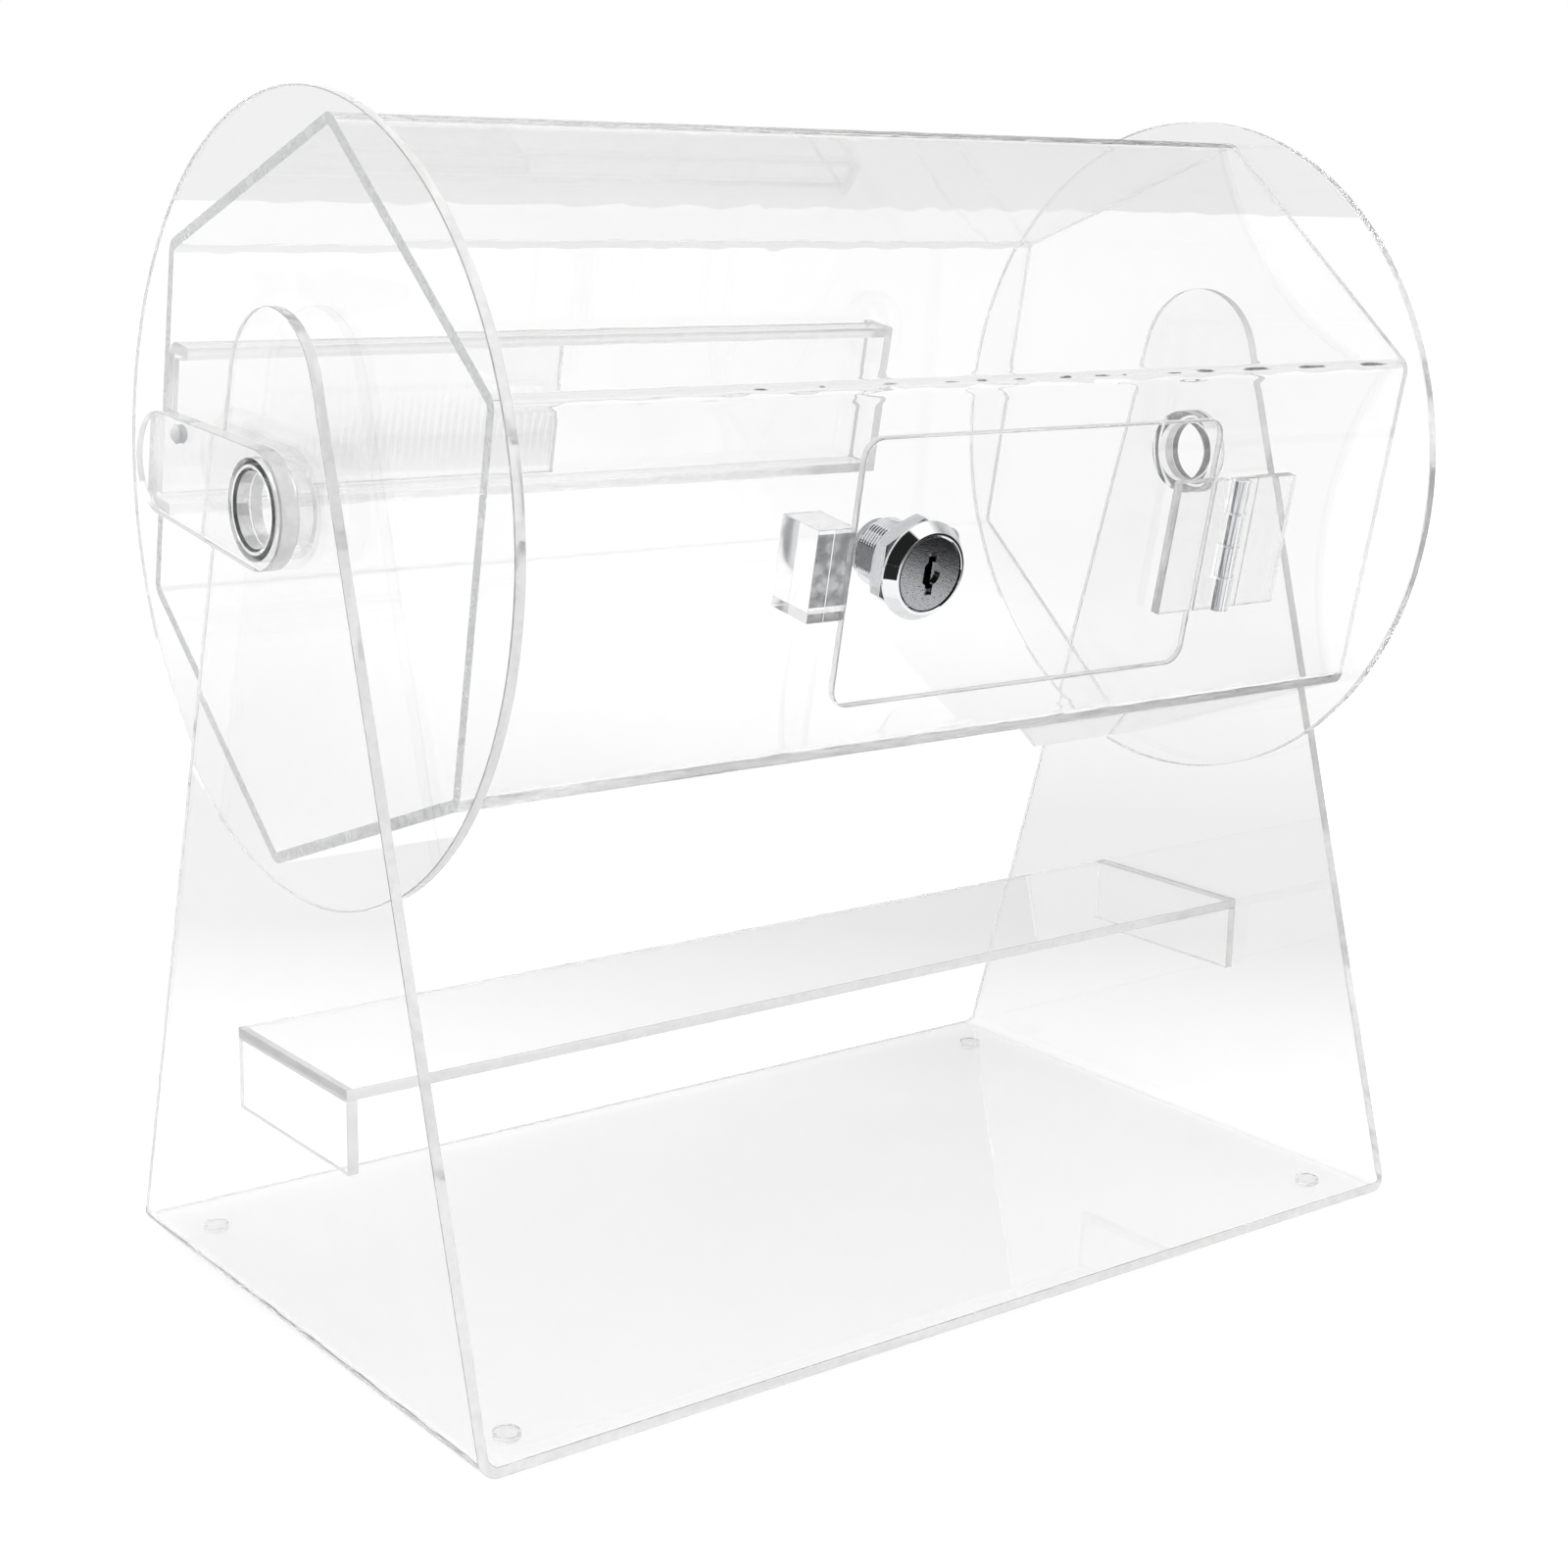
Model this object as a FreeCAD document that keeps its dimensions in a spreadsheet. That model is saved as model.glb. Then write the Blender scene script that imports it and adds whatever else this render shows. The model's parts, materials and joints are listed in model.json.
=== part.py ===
import FreeCAD, Part

# Raffle drum with crank: a hexagonal drum of clear sheet turns between the cheeks of a bent stand.
# Millimetres, +Z up, +X along the drum's axle, the drum's door towards -Y. The origin is on the
# floor, under the axle and midway between the crank arm's outer face and the far end of the other
# axle tube. The stand is drawn about its own middle. The drum is drawn about the middle of its axle,
# with the door's face towards -Y, and every piece of it is then turned back by drum_tilt.

import math
import os
from types import SimpleNamespace

import Sketcher
from FreeCAD import Placement, Rotation, Vector

SIZES = [
    # alias, value, meaning
    ("sheet_thick", 3.0, "clear sheet of stand, discs, barrel, door and mixing tray"),
    ("glue_gap", 0.02, "radial gap of a glued or screwed round joint"),
    ("running_play", 0.1, "radial play of the axle tubes in the cheeks"),
    ("base_depth", 190.0, "front to back of the base"),
    ("stand_bend", 2.0, "inside radius of the two bends of the stand"),
    ("axle_height", 218.0, "underside of the base to the axle"),
    ("cheek_top_radius", 23.0, "round top of a cheek"),
    ("cheek_top_rise", 25.5, "axle to the centre of the round top"),
    ("foot_radius", 3.5, "bumper under the base"),
    ("foot_height", 2.2, "bumper under the base"),
    ("foot_bevel", 0.9, "bevelled lower edge of a bumper"),
    ("foot_inset_x", 17.0, "end of the stand to the bumper's centre"),
    ("foot_inset_y", 16.5, "edge of the base to the bumper's centre"),
    ("brace_width", 60.0, "front to back of the cross brace"),
    ("brace_height", 77.5, "underside of the base to the top of the brace"),
    ("brace_leg", 19.5, "height of a brace leg under the strip"),
    ("disc_radius", 100.0, "end disc of the drum"),
    ("disc_rim", 4.3, "how far a disc stands past the barrel's corners, as if they were sharp"),
    ("disc_gap", 4.5, "end disc to the cheek beside it"),
    ("barrel_length", 300.0, "between the end discs"),
    ("barrel_bend", 1.5, "inside radius of a bend of the barrel"),
    ("drum_tilt", 10.3, "degrees that the door hangs below level at rest"),
    ("axle_radius", 12.5, "axle tube"),
    ("axle_wall", 3.0, "axle tube"),
    ("axle_stub", 1.5, "how far the free axle tube stands out of its cheek"),
    ("arm_thick", 5.0, "crank arm"),
    ("arm_gap", 0.5, "crank arm to cheek"),
    ("arm_hub_radius", 15.0, "round end about the axle"),
    ("arm_tip_radius", 13.3, "round outer end"),
    ("arm_reach", 54.0, "axle to the centre of the outer end"),
    ("arm_angle", -3.6, "degrees of the arm from level, in the drum's frame"),
    ("dowel_radius", 2.3, "metal dowel through the arm"),
    ("dowel_along", 43.0, "axle to the dowel, along the arm"),
    ("dowel_across", 9.8, "middle line of the arm to the dowel"),
    ("door_width", 123.5, "along the axle"),
    ("door_height", 69.0, "across the face of the barrel"),
    ("door_end_room", 72.0, "hinged edge of the door to the disc beside it"),
    ("door_corner", 5.0, "corner radius of the door"),
    ("door_kerf", 0.5, "saw cut all round the door"),
    ("hinge_height", 37.0, "length of the knuckle row"),
    ("leaf_width", 22.5, "pin axis to the free edge of a leaf"),
    ("leaf_thick", 3.0, "hinge leaf"),
    ("leaf_relief", 0.4, "step under a leaf beside the knuckles"),
    ("knuckle_radius", 3.0, "hinge knuckle"),
    ("knuckle_lift", 0.3, "knuckle to the face that it passes over"),
    ("knuckle_gap", 0.3, "between neighbouring knuckles"),
    ("pin_radius", 1.5, "hinge pin"),
    ("pin_play", 0.05, "radial play of the hinge pin"),
    ("pin_setback", 7.7, "edge of the door to the pin axis, along the axle"),
    ("lock_inset", 23.0, "free edge of the door to the lock's axis"),
    ("bezel_radius", 13.0, "lock head"),
    ("bezel_rim_radius", 10.9, "outer edge of the bezel's front rim"),
    ("bezel_height", 3.6, "lock head in front of the door"),
    ("bezel_skirt", 1.4, "straight part of the bezel beside the door"),
    ("bezel_seat_radius", 10.0, "recess for the plug's cap"),
    ("bezel_seat_floor", 1.2, "door face to the floor of that recess"),
    ("shank_radius", 8.45, "shank of the lock, at the root of its thread"),
    ("shank_length", 18.0, "shank behind the door's outer face"),
    ("shank_flat", 8.1, "lock axis to each flat of the shank"),
    ("thread_room", 0.9, "root of the lock's thread to the wall of the door's hole"),
    ("bore_radius", 6.3, "bore of the lock housing"),
    ("plug_play", 0.05, "radial play of the plug in its bore"),
    ("cap_gap", 0.4, "cap of the plug to its recess, radially and behind"),
    ("cap_sink", 0.3, "cap of the plug below the bezel's rim"),
    ("keyway_width", 2.4, "key slot"),
    ("keyway_height", 11.0, "key slot in the cap"),
    ("keyway_core", 8.4, "key slot in the plug behind the cap"),
    ("keyway_depth", 16.0, "key slot from the face of the cap"),
    ("key_dish_radius", 3.1, "round recess about the key slot"),
    ("key_dish_depth", 0.9, "round recess about the key slot"),
    ("wafer_thick", 0.7, "along the lock's axis"),
    ("wafer_width", 5.6, "along the drum's axle at rest"),
    ("wafer_height", 10.6, "across the plug"),
    ("wafer_window_width", 3.2, "opening that the key passes through"),
    ("wafer_window_height", 6.6, "opening that the key passes through"),
    ("wafer_play", 0.1, "wafer to its slot, each side"),
    ("wafer_first", 4.0, "door's outer face to the first wafer's slot"),
    ("wafer_pitch", 2.6, "wafer to wafer"),
    ("wafer_travel", 0.9, "how far a wafer springs out of the plug"),
    ("broach_play", 0.5, "housing groove past a wafer that is out"),
    ("nut_flats", 23.0, "lock nut across its flats"),
    ("nut_thick", 4.5, "lock nut"),
    ("nut_bevel", 30.0, "degrees of the bevel on the corners of the nut's free face"),
    ("tail_side", 6.5, "square tail that carries the cam"),
    ("cam_thick", 1.8, "cam"),
    ("cam_gap", 0.3, "end of the shank to the cam, and cam to its square"),
    ("cam_hub_radius", 8.0, "cam"),
    ("cam_tip_radius", 4.5, "cam"),
    ("cam_reach", 22.5, "lock axis to the centre of the cam's tip"),
    ("screw_head_radius", 4.2, "cam screw"),
    ("screw_head_thick", 2.4, "cam screw"),
    ("screw_radius", 2.0, "cam screw"),
    ("screw_length", 6.0, "shank of the cam screw in the tail"),
    ("screw_cross_reach", 2.5, "arm of the cross recess in the cam screw"),
    ("screw_cross_width", 1.0, "arm of the cross recess in the cam screw"),
    ("screw_cross_depth", 1.2, "cross recess in the cam screw"),
    ("keeper_width", 12.0, "keeper block along the axle"),
    ("keeper_height", 24.0, "keeper block across the face"),
    ("keeper_cam_gap", 0.5, "keeper block to the cam that turns behind it"),
    ("keeper_overlap", 1.5, "how far the keeper stands behind the door, as its stop"),
    ("keeper_relief", 0.4, "step of the keeper behind the door"),
    ("tray_stop", 67.0, "mixing tray to the disc away from the crank"),
    ("tray_width", 45.0, "mixing tray over its flanges"),
    ("tray_flange", 8.0, "flanges of the tray above its web"),
    ("tray_bend", 1.0, "inside radius of the tray's bends"),
    ("tray_plate_length", 117.0, "plate glued into the tray, from the crank-side disc"),
    ("tray_plate_gap", 0.3, "that plate to the bend of each flange"),
]
WAFERS = 4
KNUCKLES = 4
PAST = 5.0  # how far a cut runs past the material that it removes
SAME_PLACE = 0.01  # two coordinates closer than this are one
SAME_VOLUME = 1e-6  # a cut that takes less than this takes nothing
HALF_CORNER = 30  # degrees from the flat of a hexagon to its corner
X_AXIS, Y_AXIS, Z_AXIS = Vector(1, 0, 0), Vector(0, 1, 0), Vector(0, 0, 1)


class Measure:
    """A length or angle that follows the sheet: its expression and its present number."""

    def __init__(self, text, value):
        self.text = text
        self.value = value

    def joined(self, sign, other, value):
        return Measure(f"({self.text} {sign} {measure(other).text})", value)

    def __add__(self, other):
        return self.joined("+", other, self.value + measure(other).value)

    def __sub__(self, other):
        return self.joined("-", other, self.value - measure(other).value)

    def __mul__(self, other):
        return self.joined("*", other, self.value * measure(other).value)

    def __truediv__(self, other):
        return self.joined("/", other, self.value / measure(other).value)

    def __neg__(self):
        return self * -1


def measure(thing):
    """The thing itself if it is a Measure, or a plain number as one."""
    return thing if isinstance(thing, Measure) else Measure(f"({thing:.9g})", thing)


def cosine(angle):
    return Measure(f"cos({measure(angle).text})", math.cos(math.radians(measure(angle).value)))


def sine(angle):
    return Measure(f"sin({measure(angle).text})", math.sin(math.radians(measure(angle).value)))


doc = FreeCAD.newDocument("raffle_drum")
sheet = doc.addObject("Spreadsheet::Sheet", "sizes")
for row, (alias, value, meaning) in enumerate(SIZES, start=1):
    sheet.set(f"A{row}", meaning)
    sheet.set(f"B{row}", str(value))
    sheet.setAlias(f"B{row}", alias)
doc.recompute()
size = SimpleNamespace(**{alias: Measure(f"sizes.{alias}", value) for alias, value, _ in SIZES})

# ---- places that several pieces share ----
axle_z = size.foot_height + size.axle_height
half_barrel = size.barrel_length / 2
barrel_radius = size.disc_radius - size.disc_rim  # axle to a corner of the hexagon, if sharp
barrel_face = barrel_radius * cosine(HALF_CORNER)  # axle to a flat of the barrel, outside
barrel_inner = barrel_face - size.sheet_thick
disc_outer = half_barrel + size.sheet_thick
cheek_inner = disc_outer + size.disc_gap
cheek_outer = cheek_inner + size.sheet_thick
arm_inner = cheek_outer + size.arm_gap
arm_outer = arm_inner + size.arm_thick
free_end = cheek_outer + size.axle_stub
middle = (arm_outer - free_end) / 2  # the stand's middle, from the origin along +X
door_hinge_edge = half_barrel - size.door_end_room
door_free_edge = door_hinge_edge - size.door_width
door_middle = door_hinge_edge - size.door_width / 2
pin_x = door_hinge_edge + size.pin_setback
pin_out = size.knuckle_radius + size.knuckle_lift  # pin axis in front of the barrel's face
lock_x = door_free_edge + size.lock_inset
plug_radius = size.bore_radius - size.plug_play
cap_radius = size.bezel_seat_radius - size.cap_gap
cam_front = size.shank_length + size.cam_gap
cam_back = cam_front + size.cam_thick
keeper_depth = cam_front - size.keeper_cam_gap - size.sheet_thick
segment = size.hinge_height / KNUCKLES
tray_length = size.barrel_length - size.tray_stop

sub_parts = []


def bind(thing, **measures):
    """Ties properties of an object to the sheet; a double underscore stands for a dot."""
    for name, value in measures.items():
        thing.setExpression(name.replace("__", "."), measure(value).text)


def sub_part(thing, label):
    """Gives an object its label and puts it on the list of pieces to write."""
    thing.Label = label
    sub_parts.append(thing)
    return thing


def place(thing, x=0.0, y=0.0, z=0.0):
    bind(thing, Placement__Base__x=x, Placement__Base__y=y, Placement__Base__z=z)
    return thing


def place_in_stand(thing, x=0.0, y=0.0, z=0.0):
    """Puts a piece at x, y from the stand's middle and at height z above the floor."""
    return place(thing, middle + x, y, z)


def place_in_drum(thing, x=0.0, y=0.0, z=0.0):
    """Puts a piece at x, y, z of the drum's own frame, turned with the drum."""
    out, up = measure(y), measure(z)
    thing.Placement = Placement(Vector(), Rotation(X_AXIS, size.drum_tilt.value))
    bind(thing, Placement__Rotation__Angle=size.drum_tilt)
    level, rise = cosine(size.drum_tilt), sine(size.drum_tilt)
    return place_in_stand(thing, x, out * level - up * rise, axle_z + out * rise + up * level)


# ---- sketches and the features made from them ----
def new_body(label):
    return sub_part(doc.addObject("PartDesign::Body", label), label)


def origin_part(body, role):
    return next(part for part in body.Origin.OriginFeatures if part.Role == role)


def new_sketch(body, plane, offset=0.0):
    """A sketch on one of the body's own planes, moved along that plane's normal."""
    sketch = body.newObject("Sketcher::SketchObject", "sketch")
    sketch.AttachmentSupport = [(origin_part(body, plane), "")]
    sketch.MapMode = "FlatFace"
    bind(sketch, AttachmentOffset__Base__z=offset)
    return sketch


def constrain(sketch, kind, *where, value=None):
    """Adds one constraint; a value is a Measure, which the constraint then follows."""
    if value is None:
        return sketch.addConstraint(Sketcher.Constraint(kind, *where))
    number = sketch.addConstraint(Sketcher.Constraint(kind, *where, measure(value).value))
    sketch.setExpression(f"Constraints[{number}]", measure(value).text)
    return number


def pin_point(sketch, geometry, point, x, y):
    """Holds a point of the sketch at x, y from the sketch's origin."""
    constrain(sketch, "DistanceX", -1, 1, geometry, point, value=x)
    constrain(sketch, "DistanceY", -1, 1, geometry, point, value=y)


def flat_point(x, y):
    return Vector(measure(x).value, measure(y).value, 0)


def outline(sketch, points):
    """A closed outline of straight edges through the given points."""
    first = len(sketch.Geometry)
    count = len(points)
    for number, point in enumerate(points):
        following = points[(number + 1) % count]
        sketch.addGeometry(Part.LineSegment(flat_point(*point), flat_point(*following)), False)
    for number, point in enumerate(points):
        here, before = first + number, first + (number - 1) % count
        constrain(sketch, "Coincident", before, 2, here, 1)
        pin_point(sketch, here, 1, *point)


def rectangle(sketch, left, right, bottom, top):
    outline(sketch, [(left, bottom), (right, bottom), (right, top), (left, top)])


def circle(sketch, radius, x=0.0, y=0.0):
    ring = Part.Circle(flat_point(x, y), Z_AXIS, measure(radius).value)
    number = sketch.addGeometry(ring, False)
    pin_point(sketch, number, 3, x, y)
    constrain(sketch, "Radius", number, value=radius)


def hexagon(sketch, apothem):
    """A regular hexagon with a corner straight up and flats to the left and right."""
    corner = measure(apothem) / cosine(HALF_CORNER)
    angles = [HALF_CORNER * (2 * number + 1) for number in range(6)]
    outline(sketch, [(corner * cosine(angle), corner * sine(angle)) for angle in angles])


def arc_between(sketch, centre, radius, start, end):
    """An arc from one angle to another, in degrees, its centre and radius held."""
    ring = Part.Circle(flat_point(*centre), Z_AXIS, measure(radius).value)
    arc = Part.ArcOfCircle(ring, math.radians(start), math.radians(end))
    number = sketch.addGeometry(arc, False)
    pin_point(sketch, number, 3, *centre)
    constrain(sketch, "Radius", number, value=radius)
    return number


def link(sketch, hub_radius, tip_radius, reach, angle):
    """A link plate: two round ends joined by straight edges that touch both."""
    reach, hub_radius, tip_radius = measure(reach), measure(hub_radius), measure(tip_radius)
    tip = (reach * cosine(angle), reach * sine(angle))
    lean = math.degrees(math.acos((hub_radius.value - tip_radius.value) / reach.value))
    turn = measure(angle).value
    hub = arc_between(sketch, (0.0, 0.0), hub_radius, turn + lean, turn + 360 - lean)
    nose = arc_between(sketch, tip, tip_radius, turn - lean, turn + lean)
    for one, one_end, other, other_end in ((hub, 1, nose, 2), (nose, 1, hub, 2)):
        start = sketch.getPoint(one, one_end)
        end = sketch.getPoint(other, other_end)
        edge = sketch.addGeometry(Part.LineSegment(start, end), False)
        constrain(sketch, "Tangent", one, one_end, edge, 1)
        constrain(sketch, "Tangent", other, other_end, edge, 2)


def cheek_outline(sketch):
    """The side of the stand: straight tapering edges that run into a round top."""
    half = size.base_depth / 2
    rise = size.axle_height + size.cheek_top_rise
    radius = size.cheek_top_radius
    distance = math.hypot(half.value, rise.value)
    lean = math.degrees(math.atan2(half.value, rise.value) - math.asin(radius.value / distance))
    top = arc_between(sketch, (0.0, rise), radius, lean, 180 - lean)
    front = flat_point(-half, 0.0)
    back = flat_point(half, 0.0)
    left = sketch.addGeometry(Part.LineSegment(front, sketch.getPoint(top, 2)), False)
    right = sketch.addGeometry(Part.LineSegment(back, sketch.getPoint(top, 1)), False)
    foot = sketch.addGeometry(Part.LineSegment(front, back), False)
    constrain(sketch, "Tangent", top, 2, left, 2)
    constrain(sketch, "Tangent", top, 1, right, 2)
    constrain(sketch, "Coincident", left, 1, foot, 1)
    constrain(sketch, "Coincident", right, 1, foot, 2)
    pin_point(sketch, foot, 1, -half, 0.0)
    pin_point(sketch, foot, 2, half, 0.0)


def extrude(body, kind, sketch, length, symmetric=False, flip=False):
    """A pad or pocket; a pad follows its sketch's normal and a pocket goes against it."""
    feature = body.newObject("PartDesign::" + kind, kind)
    feature.Profile = sketch
    feature.SideType = "Symmetric" if symmetric else "One side"
    feature.Reversed = flip
    bind(feature, Length=length)
    doc.recompute()
    return feature


def pad(body, sketch, length, symmetric=False, flip=False):
    return extrude(body, "Pad", sketch, length, symmetric, flip)


def pocket(body, sketch, length, symmetric=False, flip=False):
    """A pocket, which has to take something away."""
    before = body.Shape.Volume
    feature = extrude(body, "Pocket", sketch, length, symmetric, flip)
    if body.Shape.Volume >= before - SAME_VOLUME:
        raise RuntimeError(f"a pocket of {body.Label} cuts nothing")
    return feature


def spin(body, kind, sketch):
    """A full turn of the sketch about its own vertical axis."""
    feature = body.newObject("PartDesign::" + kind, kind)
    feature.Profile = sketch
    feature.ReferenceAxis = (sketch, ["V_Axis"])
    feature.Angle = 360
    doc.recompute()
    return feature


def soften(body, kind, edges, radius):
    """A fillet or chamfer on the edges of the body's last feature that a test picks."""
    base = body.Tip
    names = [f"Edge{n}" for n, edge in enumerate(base.Shape.Edges, start=1) if edges(edge)]
    feature = body.newObject("PartDesign::" + kind, kind)
    feature.Base = (base, names)
    bind(feature, **{"Radius" if kind == "Fillet" else "Size": radius})
    doc.recompute()
    return feature


def runs_along(edge, axis):
    """Whether an edge is straight and parallel to an axis."""
    return isinstance(edge.Curve, Part.Line) and edge.Curve.Direction.cross(axis).Length < SAME_PLACE


def near(place_one, place_two):
    return abs(measure(place_one).value - measure(place_two).value) < SAME_PLACE


def long_edge(axis, at_one, at_two):
    """A test for straight edges along an axis, by how far they lie from the two planes beside it.

    The planes are those of the body's frame that hold the axis, in the order X, Y, Z of their
    normals. A coordinate given as None is not looked at.
    """
    along = [axis.x, axis.y, axis.z]

    def picks(edge):
        middle = edge.CenterOfMass
        across = [c for c, held in zip((middle.x, middle.y, middle.z), along) if not held]
        wanted = zip(across, (at_one, at_two))
        return runs_along(edge, axis) and all(at is None or near(abs(c), at) for c, at in wanted)

    return picks


# ---- stand ----
def stand_frame():
    """Base and two cheeks, bent out of one sheet, with a hole for each axle tube."""
    body = new_body("stand_frame")
    floor = new_sketch(body, "XY_Plane")
    half_depth = size.base_depth / 2
    rectangle(floor, -cheek_outer, cheek_outer, -half_depth, half_depth)
    pad(body, floor, size.sheet_thick)
    cheek = new_sketch(body, "YZ_Plane", cheek_inner)
    cheek_outline(cheek)
    side = pad(body, cheek, size.sheet_thick)
    other = body.newObject("PartDesign::Mirrored", "other_cheek")
    other.Originals = [side]
    other.MirrorPlane = (origin_part(body, "YZ_Plane"), [""])
    body.Tip = other
    doc.recompute()
    outer_bend = size.stand_bend + size.sheet_thick
    soften(body, "Fillet", long_edge(Y_AXIS, cheek_outer, 0.0), outer_bend)
    soften(body, "Fillet", long_edge(Y_AXIS, cheek_inner, size.sheet_thick), size.stand_bend)
    holes = new_sketch(body, "YZ_Plane")
    circle(holes, size.axle_radius + size.running_play, 0.0, size.axle_height)
    pocket(body, holes, (cheek_outer + PAST) * 2, symmetric=True)
    place_in_stand(body, z=size.foot_height)


def feet():
    """Four clear bumpers stuck under the corners of the base."""
    reach_x = cheek_outer - size.foot_inset_x
    reach_y = size.base_depth / 2 - size.foot_inset_y
    for side, x in (("left", -reach_x), ("right", reach_x)):
        for end, y in (("front", -reach_y), ("back", reach_y)):
            body = new_body(f"foot_{end}_{side}")
            profile = new_sketch(body, "XY_Plane")
            circle(profile, size.foot_radius)
            pad(body, profile, size.foot_height)
            soften(body, "Chamfer", lambda edge: near(edge.CenterOfMass.z, 0.0), size.foot_bevel)
            place_in_stand(body, x, y)


def brace():
    """A strip across the stand on two legs, all glued to the cheeks."""
    top = size.foot_height + size.brace_height
    strip = sub_part(doc.addObject("Part::Box", "brace_strip"), "brace_strip")
    bind(strip, Length=cheek_inner * 2, Width=size.brace_width, Height=size.sheet_thick)
    place_in_stand(strip, -cheek_inner, -size.brace_width / 2, top - size.sheet_thick)
    for side, x in (("left", -cheek_inner), ("right", cheek_inner - size.sheet_thick)):
        leg = sub_part(doc.addObject("Part::Box", f"brace_leg_{side}"), f"brace_leg_{side}")
        bind(leg, Length=size.sheet_thick, Width=size.brace_width, Height=size.brace_leg)
        place_in_stand(leg, x, -size.brace_width / 2, top - size.sheet_thick - size.brace_leg)


# ---- drum ----
def end_disc(label, x):
    """A plain round disc that closes one end of the barrel; its axle tube is glued to it."""
    body = new_body(label)
    profile = new_sketch(body, "YZ_Plane")
    circle(profile, size.disc_radius)
    pad(body, profile, size.sheet_thick)
    place_in_drum(body, x)


def barrel():
    """The hexagonal tube, bent out of one sheet, with the door's opening in its front face."""
    body = new_body("barrel")
    outside = new_sketch(body, "YZ_Plane")
    hexagon(outside, barrel_face)
    pad(body, outside, size.barrel_length, symmetric=True)
    outer_bend = size.barrel_bend + size.sheet_thick
    soften(body, "Fillet", lambda edge: runs_along(edge, X_AXIS), outer_bend)
    inside = new_sketch(body, "YZ_Plane")
    hexagon(inside, barrel_inner)
    pocket(body, inside, size.barrel_length + 2 * PAST, symmetric=True)
    corner = barrel_inner / cosine(HALF_CORNER)

    def inner_corner(edge):
        from_axle = math.hypot(edge.CenterOfMass.y, edge.CenterOfMass.z)
        return runs_along(edge, X_AXIS) and near(from_axle, corner)

    soften(body, "Fillet", inner_corner, size.barrel_bend)
    opening = new_sketch(body, "XZ_Plane")
    half_height = size.door_height / 2 + size.door_kerf
    left = door_free_edge - size.door_kerf
    right = door_hinge_edge + size.door_kerf
    rectangle(opening, left, right, -half_height, half_height)
    pocket(body, opening, barrel_radius, flip=True)
    opening_corner = long_edge(Y_AXIS, None, half_height)
    soften(body, "Fillet", opening_corner, size.door_corner + size.door_kerf)
    place_in_drum(body)


def mixing_tray():
    """A channel on the back face that lifts the tickets: bent web and flanges, an end, a plate."""
    body = new_body("tray_channel")
    profile = new_sketch(body, "YZ_Plane", -half_barrel)
    half = size.tray_width / 2
    inner = half - size.sheet_thick
    depth = size.sheet_thick + size.tray_flange
    web = -size.sheet_thick
    back = [(0.0, -half), (0.0, half)]
    upper_flange = [(-depth, half), (-depth, inner), (web, inner)]
    lower_flange = [(web, -inner), (-depth, -inner), (-depth, -half)]
    outline(profile, back + upper_flange + lower_flange)
    pad(body, profile, tray_length)
    outer_bend = size.tray_bend + size.sheet_thick
    soften(body, "Fillet", long_edge(X_AXIS, 0.0, half), outer_bend)
    soften(body, "Fillet", long_edge(X_AXIS, size.sheet_thick, inner), size.tray_bend)
    place_in_drum(body, y=barrel_inner)

    end = sub_part(doc.addObject("Part::Box", "tray_end"), "tray_end")
    bind(end, Length=size.sheet_thick, Width=depth, Height=size.tray_width)
    place_in_drum(end, -half_barrel + tray_length, barrel_inner - depth, -half)

    plate = sub_part(doc.addObject("Part::Box", "tray_plate"), "tray_plate")
    plate_half = inner - size.tray_bend - size.tray_plate_gap
    bind(plate, Length=size.tray_plate_length, Width=size.sheet_thick, Height=plate_half * 2)
    place_in_drum(plate, -half_barrel, barrel_inner - size.sheet_thick * 2, -plate_half)


def axle_tube(label, start, length):
    body = new_body(label)
    profile = new_sketch(body, "YZ_Plane")
    circle(profile, size.axle_radius)
    circle(profile, size.axle_radius - size.axle_wall)
    pad(body, profile, length)
    place_in_drum(body, start)


def crank():
    """The flat arm outside the crank-side cheek, glued round its axle tube, and its dowel."""
    body = new_body("crank_arm")
    profile = new_sketch(body, "YZ_Plane")
    link(profile, size.arm_hub_radius, size.arm_tip_radius, size.arm_reach, size.arm_angle)
    circle(profile, size.axle_radius + size.glue_gap)
    along, across = cosine(size.arm_angle), sine(size.arm_angle)
    dowel_y = size.dowel_along * along - size.dowel_across * across
    dowel_z = size.dowel_along * across + size.dowel_across * along
    circle(profile, size.dowel_radius + size.glue_gap, dowel_y, dowel_z)
    pad(body, profile, size.arm_thick)
    place_in_drum(body, -arm_outer)
    dowel = new_body("arm_dowel")
    profile = new_sketch(dowel, "YZ_Plane")
    circle(profile, size.dowel_radius)
    pad(dowel, profile, size.arm_thick)
    place_in_drum(dowel, -arm_outer, dowel_y, dowel_z)


def keeper():
    """The block inside the front face that the cam turns behind; its step stops the door."""
    right = door_free_edge + size.keeper_overlap
    half = size.keeper_height / 2
    block = doc.addObject("Part::Box", "keeper_blank")
    bind(block, Length=size.keeper_width, Width=keeper_depth, Height=size.keeper_height)
    place(block, right - size.keeper_width, -barrel_inner, -half)
    step = doc.addObject("Part::Box", "keeper_step")
    step_length = size.keeper_overlap + size.door_kerf + size.keeper_relief
    bind(step, Length=step_length + PAST, Width=size.keeper_relief + PAST)
    bind(step, Height=size.keeper_height + 2 * PAST)
    place(step, right - step_length, -barrel_inner - PAST, -half - PAST)
    cut = sub_part(doc.addObject("Part::Cut", "keeper_block"), "keeper_block")
    cut.Base = block
    cut.Tool = step
    place_in_drum(cut)


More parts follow.
